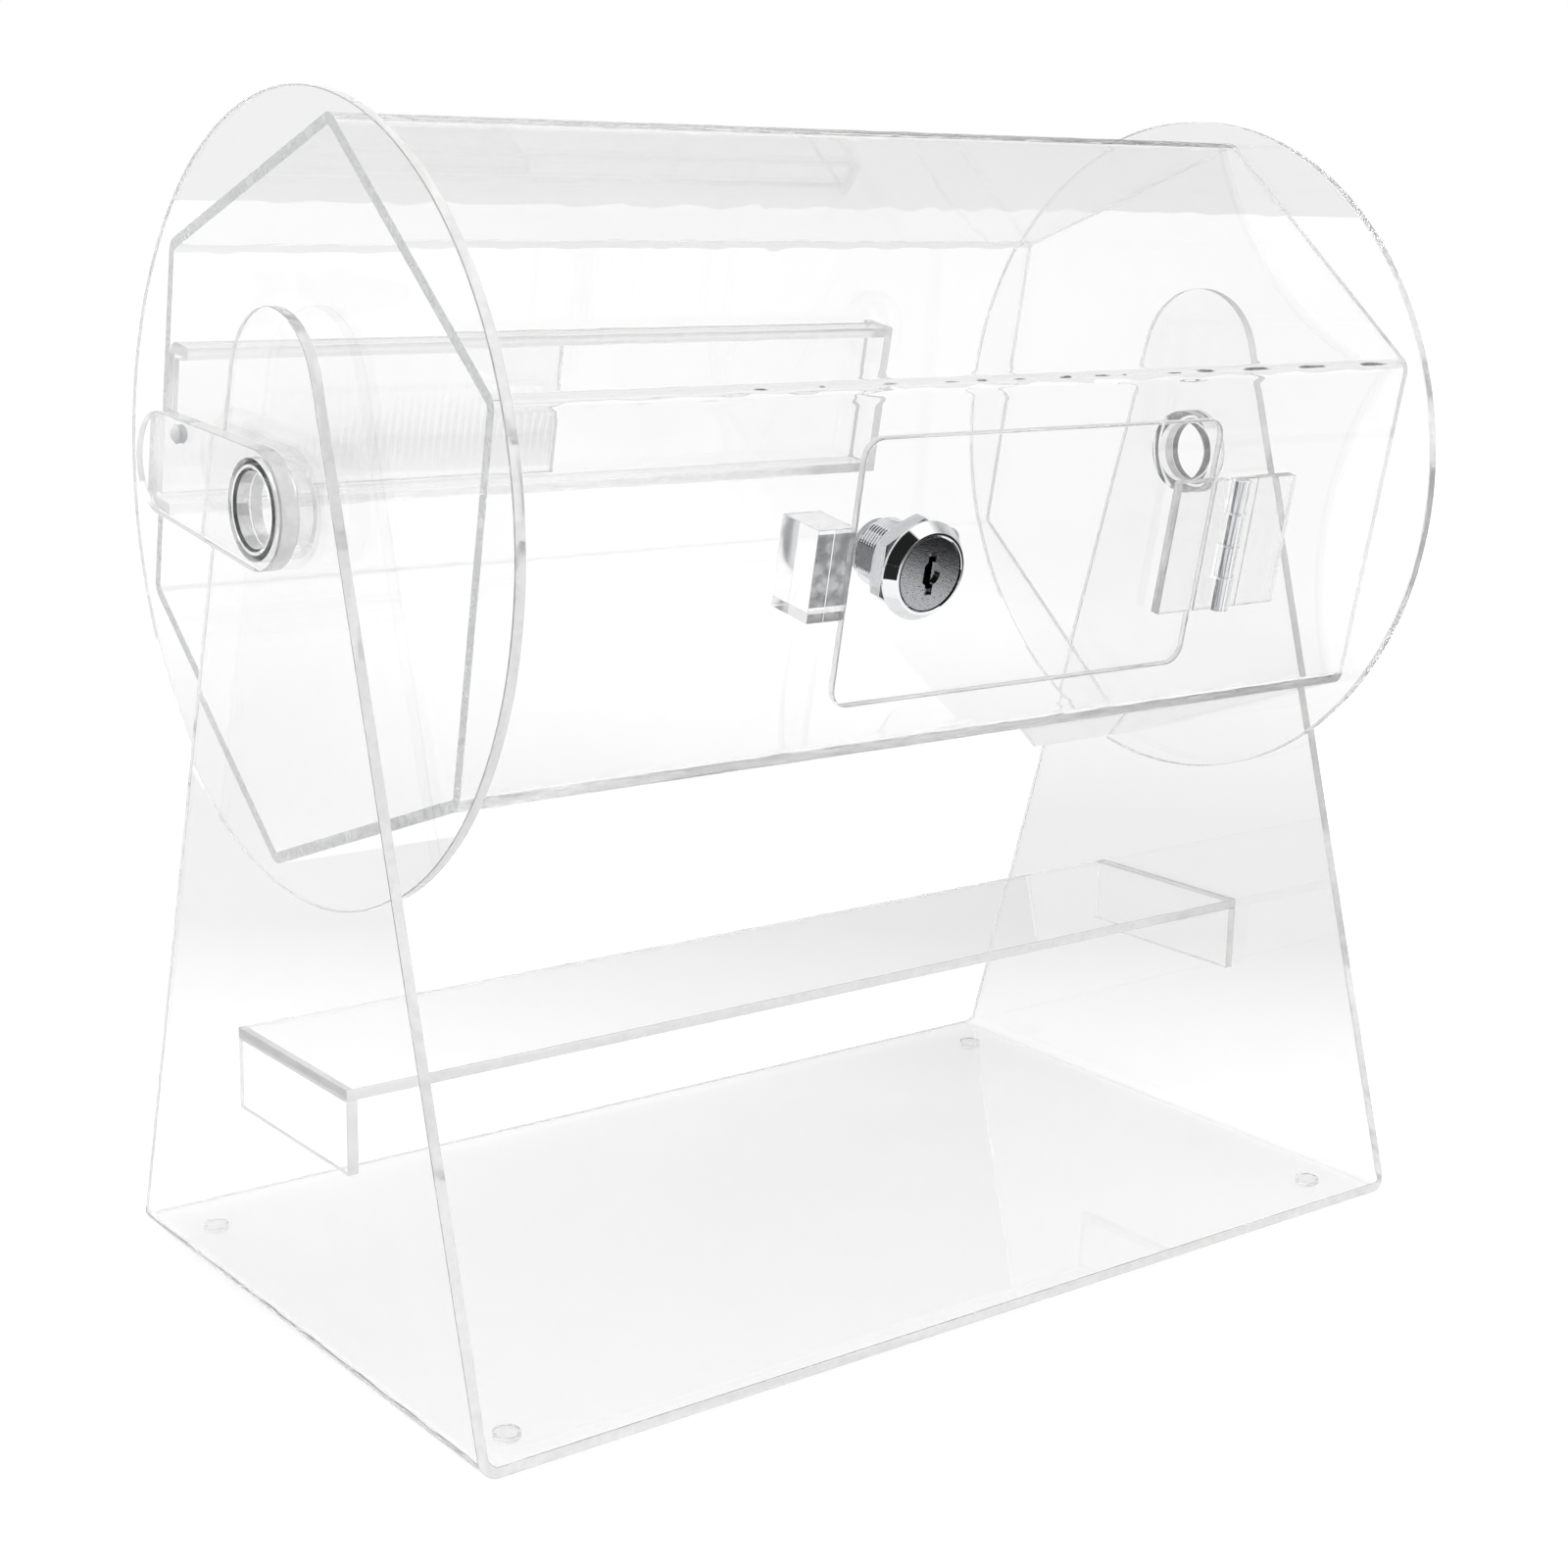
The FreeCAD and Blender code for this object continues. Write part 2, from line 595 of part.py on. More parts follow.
# ---- door and hinge ----
def door_panel():
    body = new_body("door_panel")
    panel = new_sketch(body, "XZ_Plane")
    half_width, half_height = size.door_width / 2, size.door_height / 2
    rectangle(panel, -half_width, half_width, -half_height, half_height)
    pad(body, panel, size.sheet_thick)
    soften(body, "Fillet", lambda edge: runs_along(edge, Y_AXIS), size.door_corner)
    hole = new_sketch(body, "XZ_Plane")
    circle(hole, size.shank_radius + size.thread_room, size.lock_inset - half_width)
    pocket(body, hole, size.sheet_thick * 2 + PAST, symmetric=True)
    place_in_drum(body, door_middle, -barrel_inner)


def hinge_leaf(label, side, own_knuckles):
    """A moulded leaf with its knuckles, drawn about the pin; side is 1 towards +X, -1 towards -X."""
    body = new_body(label)
    profile = new_sketch(body, "XY_Plane")
    top = pin_out - size.leaf_thick
    under = pin_out - size.leaf_relief
    step = (size.pin_setback + size.door_kerf * 2) * side
    far = size.leaf_width * side
    seat = [(far, pin_out), (step, pin_out), (step, under)]
    outline(profile, [(0.0, top), (far, top)] + seat + [(0.0, under)])
    pad(body, profile, size.hinge_height, symmetric=True)
    knuckle_row = new_sketch(body, "XY_Plane")
    circle(knuckle_row, size.knuckle_radius)
    pad(body, knuckle_row, size.hinge_height, symmetric=True)
    bore = new_sketch(body, "XY_Plane")
    circle(bore, size.pin_radius + size.pin_play)
    pocket(body, bore, size.hinge_height + 2 * PAST, symmetric=True)
    notches = new_sketch(body, "XZ_Plane")
    reach = size.knuckle_radius + size.knuckle_gap
    for number in range(KNUCKLES):
        if number in own_knuckles:
            continue
        low = segment * number - size.hinge_height / 2
        high = low + segment
        low = low - (size.knuckle_gap / 2 if number else PAST)
        high = high + (size.knuckle_gap / 2 if number < KNUCKLES - 1 else PAST)
        rectangle(notches, -reach, reach, low, high)
    pocket(body, notches, (size.knuckle_radius + PAST) * 2, symmetric=True)
    place_in_drum(body, pin_x, -barrel_face - pin_out)


def hinge_pin():
    pin = sub_part(doc.addObject("Part::Cylinder", "hinge_pin"), "hinge_pin")
    bind(pin, Radius=size.pin_radius, Height=size.hinge_height)
    place_in_drum(pin, pin_x, -barrel_face - pin_out, -size.hinge_height / 2)


# ---- lock, drawn about its axis with the door's outer face at y = 0 and the drum's inside at +Y ----
def place_lock_piece(body, y=0.0):
    return place_in_drum(body, lock_x, measure(y) - barrel_face)


def lock_housing():
    """Bezel and shank in one turned piece, with two flats and two grooves for the wafers."""
    body = new_body("lock_housing")
    profile = new_sketch(body, "XY_Plane")
    seat = -size.bezel_seat_floor
    rim = -size.bezel_height
    cap_seat = [(size.bore_radius, seat), (size.bezel_seat_radius, seat)]
    front = [(size.bezel_seat_radius, rim), (size.bezel_rim_radius, rim)]
    skirt = [(size.bezel_radius, -size.bezel_skirt), (size.bezel_radius, 0.0)]
    shank = [(size.shank_radius, 0.0), (size.shank_radius, size.shank_length)]
    outline(profile, cap_seat + front + skirt + shank + [(size.bore_radius, size.shank_length)])
    spin(body, "Revolution", profile)
    flats = new_sketch(body, "XZ_Plane")
    far = size.shank_radius + PAST
    for side in (-1, 1):
        rectangle(flats, size.shank_flat * side, far * side, -far, far)
    pocket(body, flats, size.shank_length + PAST)
    broach = new_sketch(body, "XZ_Plane", -size.sheet_thick)
    half_width = size.wafer_width / 2 + size.broach_play
    half_height = size.wafer_height / 2 + size.wafer_travel + size.broach_play
    rectangle(broach, -half_width, half_width, -half_height, half_height)
    pocket(body, broach, size.shank_length + PAST)
    place_lock_piece(body)


def wafer_start(number):
    return size.wafer_first + size.wafer_pitch * number


def lock_plug():
    """Cap, slotted barrel and square tail of the plug that the key turns."""
    body = new_body("lock_plug")
    profile = new_sketch(body, "XY_Plane")
    face = size.cap_sink - size.bezel_height
    cap_back = -size.bezel_seat_floor - size.cap_gap
    cap = [(0.0, face), (cap_radius, face), (cap_radius, cap_back)]
    core = [(plug_radius, cap_back), (plug_radius, size.shank_length), (0.0, size.shank_length)]
    outline(profile, cap + core)
    spin(body, "Revolution", profile)
    tail = new_sketch(body, "XZ_Plane", -size.shank_length)
    half_tail = size.tail_side / 2
    rectangle(tail, -half_tail, half_tail, -half_tail, half_tail)
    pad(body, tail, cam_back - size.shank_length, flip=True)
    half_slot = size.keyway_width / 2
    keyway = ((size.keyway_height, size.key_dish_depth), (size.keyway_core, size.keyway_depth))
    for height, depth in keyway:
        slot = new_sketch(body, "XZ_Plane", -face)
        rectangle(slot, -half_slot, half_slot, -height / 2, height / 2)
        pocket(body, slot, depth)
    dish = new_sketch(body, "XZ_Plane", -face)
    circle(dish, size.key_dish_radius)
    pocket(body, dish, size.key_dish_depth)
    slots = new_sketch(body, "XY_Plane")
    half_width = size.wafer_width / 2 + size.wafer_play
    for number in range(WAFERS):
        start = wafer_start(number)
        end = start + size.wafer_thick + size.wafer_play * 2
        rectangle(slots, -half_width, half_width, start, end)
    pocket(body, slots, size.bore_radius * 2 + PAST, symmetric=True)
    thread = new_sketch(body, "XZ_Plane", -cam_back)
    circle(thread, size.screw_radius + size.glue_gap)
    pocket(body, thread, size.screw_length + size.cam_gap, flip=True)
    place_lock_piece(body)


def wafers():
    """Thin brass plates, each with a window for the key, that spring out of the plug."""
    for number in range(WAFERS):
        body = new_body(f"wafer_{number + 1}")
        profile = new_sketch(body, "XZ_Plane")
        window = (size.wafer_window_width, size.wafer_window_height)
        for width, height in ((size.wafer_width, size.wafer_height), window):
            rectangle(profile, -width / 2, width / 2, -height / 2, height / 2)
        pad(body, profile, size.wafer_thick, flip=True)
        place_lock_piece(body, wafer_start(number) + size.wafer_play)


def lock_nut():
    """The hexagon nut that clamps the door; the corners of its free face are bevelled."""
    body = new_body("lock_nut")
    profile = new_sketch(body, "XZ_Plane")
    apothem = size.nut_flats / 2
    hexagon(profile, apothem)
    circle(profile, size.shank_radius + size.glue_gap)
    pad(body, profile, size.nut_thick, flip=True)
    bevel = new_sketch(body, "XY_Plane")
    far = apothem / cosine(HALF_CORNER)
    fall = (far - apothem) * sine(size.nut_bevel) / cosine(size.nut_bevel)
    beyond = far + PAST
    free, low = size.nut_thick, size.nut_thick - fall
    outline(bevel, [(apothem, free), (beyond, free), (beyond, low), (far, low)])
    spin(body, "Groove", bevel)
    place_lock_piece(body, size.sheet_thick)


def cam():
    """The flat cam on the plug's square tail, and the screw that holds it."""
    body = new_body("lock_cam")
    profile = new_sketch(body, "XZ_Plane")
    link(profile, size.cam_hub_radius, size.cam_tip_radius, size.cam_reach, 0.0)
    half_hole = size.tail_side / 2 + size.glue_gap
    rectangle(profile, -half_hole, half_hole, -half_hole, half_hole)
    pad(body, profile, size.cam_thick, flip=True)
    place_lock_piece(body, cam_front)
    screw = new_body("cam_screw")
    head = new_sketch(screw, "XZ_Plane")
    circle(head, size.screw_head_radius)
    pad(screw, head, size.screw_head_thick, flip=True)
    shank = new_sketch(screw, "XZ_Plane")
    circle(shank, size.screw_radius)
    pad(screw, shank, size.screw_length)
    reach = size.screw_cross_reach
    half_arm = size.screw_cross_width / 2
    for half_width, half_height in ((reach, half_arm), (half_arm, reach)):
        slot = new_sketch(screw, "XZ_Plane", -size.screw_head_thick)
        rectangle(slot, -half_width, half_width, -half_height, half_height)
        pocket(screw, slot, size.screw_cross_depth, flip=True)
    place_lock_piece(screw, cam_back)


# ---- the whole drum ----
stand_frame()
feet()
brace()
end_disc("end_disc_left", -disc_outer)
end_disc("end_disc_right", half_barrel)
barrel()
mixing_tray()
axle_tube("axle_tube_left", -arm_outer, arm_outer - disc_outer)
axle_tube("axle_tube_right", disc_outer, free_end - disc_outer)
crank()
keeper()
door_panel()
hinge_leaf("hinge_leaf_fixed", 1, (1, 3))
hinge_leaf("hinge_leaf_door", -1, (0, 2))
hinge_pin()
lock_housing()
lock_nut()
lock_plug()
wafers()
cam()
doc.recompute()

for thing in doc.Objects:
    if "Invalid" in thing.State or "Error" in thing.State:
        raise RuntimeError(f"{thing.Label} ({thing.Name}) is {thing.State}")
for thing in sub_parts:
    if thing.Shape.isNull() or not thing.Shape.isValid():
        raise RuntimeError(f"{thing.Label} has no sound shape")

os.makedirs("parts", exist_ok=True)
for thing in sub_parts:
    thing.Shape.exportStep(f"parts/{thing.Label}.step")
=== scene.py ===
"""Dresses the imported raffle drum: clear sheet, moulded hinge, plated cam lock, studio and camera.

Lengths are in millimetres until a mesh is made. The drum is drawn about the middle of its axle, with
the door's face towards -Y, and is then turned back by the drum's tilt and put on its axle.
"""

import json
import logging
import math
from dataclasses import dataclass, field
from enum import Enum

import bmesh
import bpy
import numpy as np
from mathutils import Matrix, Vector
from numpy.typing import NDArray


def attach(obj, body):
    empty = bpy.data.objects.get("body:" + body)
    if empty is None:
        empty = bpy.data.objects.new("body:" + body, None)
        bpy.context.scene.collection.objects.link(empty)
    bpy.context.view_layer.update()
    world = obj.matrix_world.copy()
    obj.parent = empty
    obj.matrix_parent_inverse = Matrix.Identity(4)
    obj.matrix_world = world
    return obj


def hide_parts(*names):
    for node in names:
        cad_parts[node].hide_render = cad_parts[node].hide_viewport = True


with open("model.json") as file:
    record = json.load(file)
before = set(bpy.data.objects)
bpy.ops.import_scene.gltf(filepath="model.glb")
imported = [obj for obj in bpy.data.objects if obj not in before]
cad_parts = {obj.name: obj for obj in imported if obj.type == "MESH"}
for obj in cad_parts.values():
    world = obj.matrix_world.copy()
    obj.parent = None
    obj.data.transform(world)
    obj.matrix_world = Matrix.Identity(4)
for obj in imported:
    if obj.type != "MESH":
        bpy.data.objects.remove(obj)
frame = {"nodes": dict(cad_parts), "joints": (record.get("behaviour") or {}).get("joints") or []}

Points = NDArray[np.float64]
Numbers = NDArray[np.int64]
log = logging.getLogger("raffle_drum")

MM = 0.001  # metres in a millimetre
WELD = 1e-4  # points closer than this, in millimetres, are one
SHARP = math.radians(32)  # edges that turn more than this keep a hard line
WET = 0.02  # how deep glued faces sink into each other, so that light crosses the joint
TINY = 1e-6  # keeps a division by a cosine from dividing by nothing
HEX_FACE = 95.7 * math.cos(math.pi / 6)  # axle to a flat of the barrel, outside


class Side(Enum):
    """The two ends of the axle."""

    LEFT = -1
    RIGHT = 1


# ---- meshes ----
@dataclass
class Skin:
    """A surface collected patch by patch and welded when its mesh is made."""

    grids: list[Points] = field(default_factory=list)
    quads: list[Numbers] = field(default_factory=list)
    finishes: list[Numbers] = field(default_factory=list)
    count: int = 0

    def patch(self, grid: Points, finish: int | Numbers = 0, close: bool = False) -> None:
        """Adds a grid of points.

        Args:
            grid: Rows by columns by xyz.
            finish: Number of the piece's material for these faces, or one number for each.
            close: Whether the last column joins the first.
        """
        rows, columns = grid.shape[:2]
        row = np.arange(rows - 1)[:, None] * columns
        here = np.arange(columns if close else columns - 1)[None, :]
        after = (here + 1) % columns
        corners = [row + here, row + after, row + columns + after, row + columns + here]
        quads = np.stack(corners, axis=-1).reshape(-1, 4) + self.count
        self.grids.append(grid.reshape(-1, 3))
        self.quads.append(quads)
        self.finishes.append(np.broadcast_to(finish, len(quads)))
        self.count += rows * columns

    def between(self, one: Points, other: Points, finish: int = 0, close: bool = False) -> None:
        """Adds the strip between two rows of points of the same length."""
        self.patch(np.stack([one, other]), finish, close)

    def mesh(self, name: str, place: Matrix) -> bpy.types.Mesh:
        """Welds the patches into one mesh.

        Points with the same rounded coordinates become one vertex. A quad that has a side of no
        length becomes a triangle, and one with two such sides is dropped. The faces are then turned
        outwards.

        Args:
            name: Name of the mesh.
            place: Where it goes, in millimetres.

        Returns:
            The mesh in metres.
        """
        points = np.concatenate(self.grids)
        turn = np.array(place)
        points = points @ turn[:3, :3].T + turn[:3, 3]
        keys = np.round(points / WELD).astype(np.int64)
        _, first, number = np.unique(keys, axis=0, return_index=True, return_inverse=True)
        quads = number.reshape(-1)[np.concatenate(self.quads)]
        finishes = np.concatenate(self.finishes)
        flat_side = quads == np.roll(quads, -1, axis=1)
        whole, pinched = flat_side.sum(axis=1) == 0, flat_side.sum(axis=1) == 1
        triangles = quads[pinched][~flat_side[pinched]].reshape(-1, 3)
        mesh = bpy.data.meshes.new(name)
        mesh.from_pydata((points[first] * MM).tolist(), [], quads[whole].tolist() + triangles.tolist())
        order = np.concatenate([finishes[whole], finishes[pinched]]).astype(np.int32)
        mesh.polygons.foreach_set("material_index", order)
        shell = bmesh.new()
        shell.from_mesh(mesh)
        bmesh.ops.recalc_face_normals(shell, faces=shell.faces)
        shell.to_mesh(mesh)
        shell.free()
        mesh.shade_smooth()
        mesh.set_sharp_from_angle(angle=SHARP)
        return mesh


def lathe(rows: Points, turns: int) -> Points:
    """Carries a profile of (radius, along) round the X axis: x = along, y, z = radius cos, sin.

    Args:
        rows: Profile points in order.
        turns: Number of steps round the axis.

    Returns:
        A grid of rows by turns, to be closed.
    """
    angle = np.arange(turns) * 2 * np.pi / turns
    radius, along = rows[:, :1], rows[:, 1:]
    return np.stack([along + 0 * angle, radius * np.cos(angle), radius * np.sin(angle)], axis=-1)


def arc(centre: tuple[float, float], radius: float, start: float, end: float, steps: int) -> Points:
    """Points on an arc: centre + radius (cos a, sin a), a in degrees from start to end."""
    angle = np.radians(np.linspace(start, end, steps + 1))
    return np.stack([centre[0] + radius * np.cos(angle), centre[1] + radius * np.sin(angle)], axis=-1)


def line(start: tuple[float, float], end: tuple[float, float], steps: int) -> Points:
    """Equally spaced points from start to end, both of them included."""
    return np.linspace(np.array(start, float), np.array(end, float), steps + 1)


def hole_round(outline: Points, centre: tuple[float, float], radius: float) -> Points:
    """The points of a round hole that lie straight between its centre and each outline point."""
    reach = outline - np.array(centre)
    return np.array(centre) + radius * reach / np.linalg.norm(reach, axis=1, keepdims=True)


def rounded_rectangle(left: float, right: float, low: float, high: float, radius: float) -> Points:
    """The closed outline of a rectangle whose corners are arcs; it starts at the left, at mid height.

    The lower half comes first. Each half has 120 steps: 10 up or down a side, 12 round a corner,
    76 along, and the same back.

    Args:
        left: Its left side.
        right: Its right side.
        low: Its lower side.
        high: Its upper side.
        radius: Radius of its corners.

    Returns:
        The points in order, the first one not repeated.
    """
    middle = (low + high) / 2

    def half(level: float, sign: int) -> Points:
        """The lower (sign -1) or upper (sign 1) half, whose long side is at the level."""
        inner = level - sign * radius
        start, end = (180, 180 + sign * -90), (sign * 90, 0)
        side = line((left, middle), (left, inner), 10)
        corner = arc((left + radius, inner), radius, *start, 12)
        along = line((left + radius, level), (right - radius, level), 76)
        other = arc((right - radius, inner), radius, *end, 12)
        back = line((right, inner), (right, middle), 10)
        return np.concatenate([side[:-1], corner[:-1], along[:-1], other[:-1], back])

    lower, upper = half(low, -1), half(high, 1)
    return np.concatenate([lower, upper[-2:0:-1]])


@dataclass(frozen=True)
class Ripple:
    """The small waves that the heating wire leaves in a bend.

    The height at (across, along) is the sum of sine waves of different lengths and directions, times
    a window that falls to nothing at the edge of the heated strip.
    """

    height: float
    seed: int
    across: tuple[float, float] = (3.0, 7.0)
    along: tuple[float, float] = (9.0, 26.0)
    waves: int = 14

    def heights(self, across: Points, along: Points, window: Points) -> Points:
        """Heights for every pair of a place across the bend and one along it.

        Args:
            across: Places across the bend.
            along: Places along the bend.
            window: Share of the height for each place across.

        Returns:
            A grid of across by along.
        """
        dice = np.random.default_rng(self.seed)
        total = np.zeros((len(across), len(along)))
        for _ in range(self.waves):
            short, long = dice.uniform(*self.across), dice.uniform(*self.along)
            lean, phase = dice.choice([-1, 1]), dice.uniform(0, 2 * np.pi)
            total += np.sin(2 * np.pi * (across[:, None] / short + lean * along / long) + phase)
        return total * window[:, None] * self.height / math.sqrt(self.waves / 2)


@dataclass(frozen=True)
class Bend:
    """One bend of a sheet: stations across it, from flat to flat, on the sheet's outer side."""

    points: Points
    normals: Points
    window: Points
    across: Points


def bend(before: Points, corner: Points, after: Points, radius: float, heated: float) -> Bend:
    """The outer line of a sheet at one bend.

    The line follows the run from before to corner, an arc that touches both runs, and the run from
    corner to after. Its normal points to the right of the way along it.

    Args:
        before: A point on the first run.
        corner: Where the two runs would meet.
        after: A point on the second run.
        radius: Outer radius of the bend.
        heated: Length of flat on each side that the heat has moved.

    Returns:
        The stations of the bend.
    """
    first, second = corner - before, after - corner
    first, second = first / np.linalg.norm(first), second / np.linalg.norm(second)
    turned = math.acos(float(np.clip(first @ second, -1, 1)))
    touch = radius * math.tan(turned / 2)
    steps = max(8, int(radius * turned / 0.4))
    start = math.atan2(-first[0], first[1])
    angles = start + np.linspace(0, turned, steps + 1)
    centre = corner - touch * first - radius * np.array([math.cos(start), math.sin(start)])
    round_part = centre + radius * np.stack([np.cos(angles), np.sin(angles)], axis=-1)
    side = np.linspace(heated, 0, max(2, int(heated / 0.4)) + 1)[:-1, None]
    points = np.concatenate(
        [corner - (touch + side) * first, round_part, corner + (touch + side[::-1]) * second]
    )
    flat = len(side)
    angles = np.concatenate([np.full(flat, angles[0]), angles, np.full(flat, angles[-1])])
    normals = np.stack([np.cos(angles), np.sin(angles)], axis=-1)
    across = np.concatenate([[0.0], np.cumsum(np.linalg.norm(np.diff(points, axis=0), axis=1))])
    middle = across[-1] / 2
    window = np.cos(np.pi / 2 * np.clip((across - middle) / middle, -1, 1)) ** 2
    return Bend(points, normals, window, across)


# ---- finishes ----
def linear(colour: str) -> tuple[float, float, float, float]:
    """The linear colour of an sRGB hex value.

    Args:
        colour: Red, green and blue as #RRGGBB.

    Returns:
        Linear red, green, blue and full alpha.
    """
    parts = [int(colour[at : at + 2], 16) / 255 for at in (1, 3, 5)]
    red, green, blue = ((p / 12.92 if p <= 0.04045 else ((p + 0.055) / 1.055) ** 2.4) for p in parts)
    return red, green, blue, 1.0


def add(
    tree: bpy.types.NodeTree, kind: str, inputs: dict | None = None, **settings: object
) -> bpy.types.Node:
    """Adds a node.

    Args:
        tree: Where it goes.
        kind: Its Blender type.
        inputs: A value, or a socket to link, for each input by name or number.
        settings: Its own properties.

    Returns:
        The node.
    """
    node = tree.nodes.new(kind)
    for name, value in settings.items():
        setattr(node, name, value)
    for name, value in (inputs or {}).items():
        if isinstance(value, bpy.types.NodeSocket):
            tree.links.new(value, node.inputs[name])
        else:
            node.inputs[name].default_value = value
    return node


@dataclass(frozen=True)
class Finish:
    """A material that is made once and then shared."""

    name: str

    def material(self) -> bpy.types.Material:
        """The finish as a node material.

        Returns:
            The material, made at the first call.
        """
        found = bpy.data.materials.get(self.name)
        if found:
            return found
        made = bpy.data.materials.new(self.name)
        made.use_nodes = True
        tree = made.node_tree
        tree.nodes.clear()
        add(tree, "ShaderNodeOutputMaterial", {"Surface": self.surface(tree)})
        return made

    def surface(self, tree: bpy.types.NodeTree) -> bpy.types.NodeSocket:
        """Builds the shader; each kind of finish has its own."""
        raise NotImplementedError


@dataclass(frozen=True)
class ClearPlastic(Finish):
    """Clear plastic, cast or moulded, whose surface scatters a little of the light.

    The share that scatters follows a noise between haze_low and haze_high. Lamps shine through it.
    """

    colour: str = "#FBFBFB"
    ior: float = 1.49
    roughness: float = 0.0
    haze_low: float = 0.0
    haze_high: float = 0.02
    haze_size: float = 40.0
    shade: str = "#FCFCFC"
    painted_shade_blots: str = "#FBFBFB"

    def surface(self, tree: bpy.types.NodeTree) -> bpy.types.NodeSocket:
        """Clear plastic whose transmission varies with a noise, and which shadows only faintly.

        Args:
            tree: Where the nodes go.

        Returns:
            The shader's socket.
        """
        place = add(tree, "ShaderNodeTexCoord").outputs["Object"]
        scale = 1 / (self.haze_size * MM)
        cloud = {"Vector": place, "Scale": scale, "Detail": 4.0, "Roughness": 0.6}
        noise = add(tree, "ShaderNodeTexNoise", cloud)
        share = add(
            tree,
            "ShaderNodeMapRange",
            {
                "Value": noise.outputs[0],
                "From Min": 0.35,
                "From Max": 0.7,
                "To Min": 1 - self.haze_low,
                "To Max": 1 - self.haze_high,
            },
        )
        colour = linear(self.colour)
        # Blots of a second, darker colour, used only on the tube ends, are painted shade.
        if self.painted_shade_blots != self.colour:
            spread = {"Value": noise.outputs[0], "From Min": 0.3, "From Max": 0.6}
            blots = add(tree, "ShaderNodeMapRange", spread)
            shades = {0: blots.outputs[0], 6: colour, 7: linear(self.painted_shade_blots)}
            colour = add(tree, "ShaderNodeMix", shades, data_type="RGBA").outputs[2]
        plastic = add(
            tree,
            "ShaderNodeBsdfPrincipled",
            {
                "Base Color": colour,
                "IOR": self.ior,
                "Roughness": self.roughness,
                "Transmission Weight": share.outputs[0],
            },
        )
        lamp_side = add(tree, "ShaderNodeBsdfTransparent", {"Color": linear(self.shade)})
        path = add(tree, "ShaderNodeLightPath")
        mixed = add(
            tree,
            "ShaderNodeMixShader",
            {0: path.outputs["Is Shadow Ray"], 1: plastic.outputs[0], 2: lamp_side.outputs[0]},
        )
        return mixed.outputs[0]


@dataclass(frozen=True)
class Metal(Finish):
    """Bare or plated metal whose polish varies with a stretched noise."""

    colour: str = "#C9C9CB"
    smooth: float = 0.06
    rough: float = 0.14
    grain_size: float = 0.6
    grain: tuple[float, float, float] = (1.0, 1.0, 1.0)
    bump: float = 0.0
    lean: float = 0.0
    lines: str = ""
    lines_at: tuple[float, float] = (0.4, 0.6)
    metallic: float = 1.0

    def surface(self, tree: bpy.types.NodeTree) -> bpy.types.NodeSocket:
        """Metal with its roughness, a slight bump and its darker lines from the same noise.

        Args:
            tree: Where the nodes go.

        Returns:
            The shader's socket.
        """
        place = add(tree, "ShaderNodeTexCoord").outputs["Object"]
        turned = {"Vector": place, "Rotation": (math.radians(self.lean), 0.0, 0.0), "Scale": self.grain}
        stretched = add(tree, "ShaderNodeMapping", turned, vector_type="TEXTURE")
        scale = 1 / (self.grain_size * MM)
        noise = add(tree, "ShaderNodeTexNoise", {"Vector": stretched.outputs[0], "Scale": scale})
        polish = add(
            tree,
            "ShaderNodeMapRange",
            {
                "Value": noise.outputs[0],
                "From Min": 0.3,
                "From Max": 0.7,
                "To Min": self.smooth,
                "To Max": self.rough,
            },
        )
        relief = add(
            tree,
            "ShaderNodeBump",
            {"Height": noise.outputs[0], "Strength": 1.0, "Distance": self.bump * MM},
        )
        colour = linear(self.colour)
        if self.lines:
            low, high = self.lines_at
            spread = {"Value": noise.outputs[0], "From Min": low, "From Max": high}
            drawn = add(tree, "ShaderNodeMapRange", spread)
            shades = {0: drawn.outputs[0], 6: colour, 7: linear(self.lines)}
            colour = add(tree, "ShaderNodeMix", shades, data_type="RGBA").outputs[2]
        metal = add(
            tree,
            "ShaderNodeBsdfPrincipled",
            {
                "Base Color": colour,
                "Metallic": self.metallic,
                "Roughness": polish.outputs[0],
                "Normal": relief.outputs[0],
            },
        )
        return metal.outputs[0]


@dataclass(frozen=True)
class Cement(Finish):
    """Solvent cement between two clear pieces: mostly unseen, with pale patches of trapped air, and a pale
    film over the joint that is painted light.
    """

    colour: str = "#F4F6F6"
    roughness: float = 0.25
    patch_size: float = 6.0
    least: float = 0.25
    most: float = 0.85

    def surface(self, tree: bpy.types.NodeTree) -> bpy.types.NodeSocket:
        """Transparent but for blots of a noise.

        Args:
            tree: Where the nodes go.

        Returns:
            The shader's socket.
        """
        place = add(tree, "ShaderNodeTexCoord").outputs["Object"]
        noise = add(
            tree,
            "ShaderNodeTexNoise",
            {"Vector": place, "Scale": 1 / (self.patch_size * MM), "Detail": 2.0, "Distortion": 1.5},
        )
        blots = add(
            tree,
            "ShaderNodeMapRange",
            {
                "Value": noise.outputs[0],
                "From Min": 0.42,
                "From Max": 0.58,
                "To Min": self.least,
                "To Max": self.most,
            },
        )
        clear = add(tree, "ShaderNodeBsdfTransparent")
        dried = {"Base Color": linear(self.colour), "Roughness": self.roughness}
        air = add(tree, "ShaderNodeBsdfPrincipled", dried)
        shades = {0: blots.outputs[0], 1: clear.outputs[0], 2: air.outputs[0]}
        mixed = add(tree, "ShaderNodeMixShader", shades)
        return mixed.outputs[0]


# Cast acrylic sheet with its factory polish: colourless, glassy, with a breath of haze from handling.
SHEET = ClearPlastic("cast_acrylic_polished")
# Acrylic cut by laser and flamed: bright, but the cut's fine waves scatter it to a soft white line.
EDGE = ClearPlastic(
    "cast_acrylic_cut_edge", haze_low=0.3, haze_high=0.4, haze_size=9.0, roughness=0.04
)
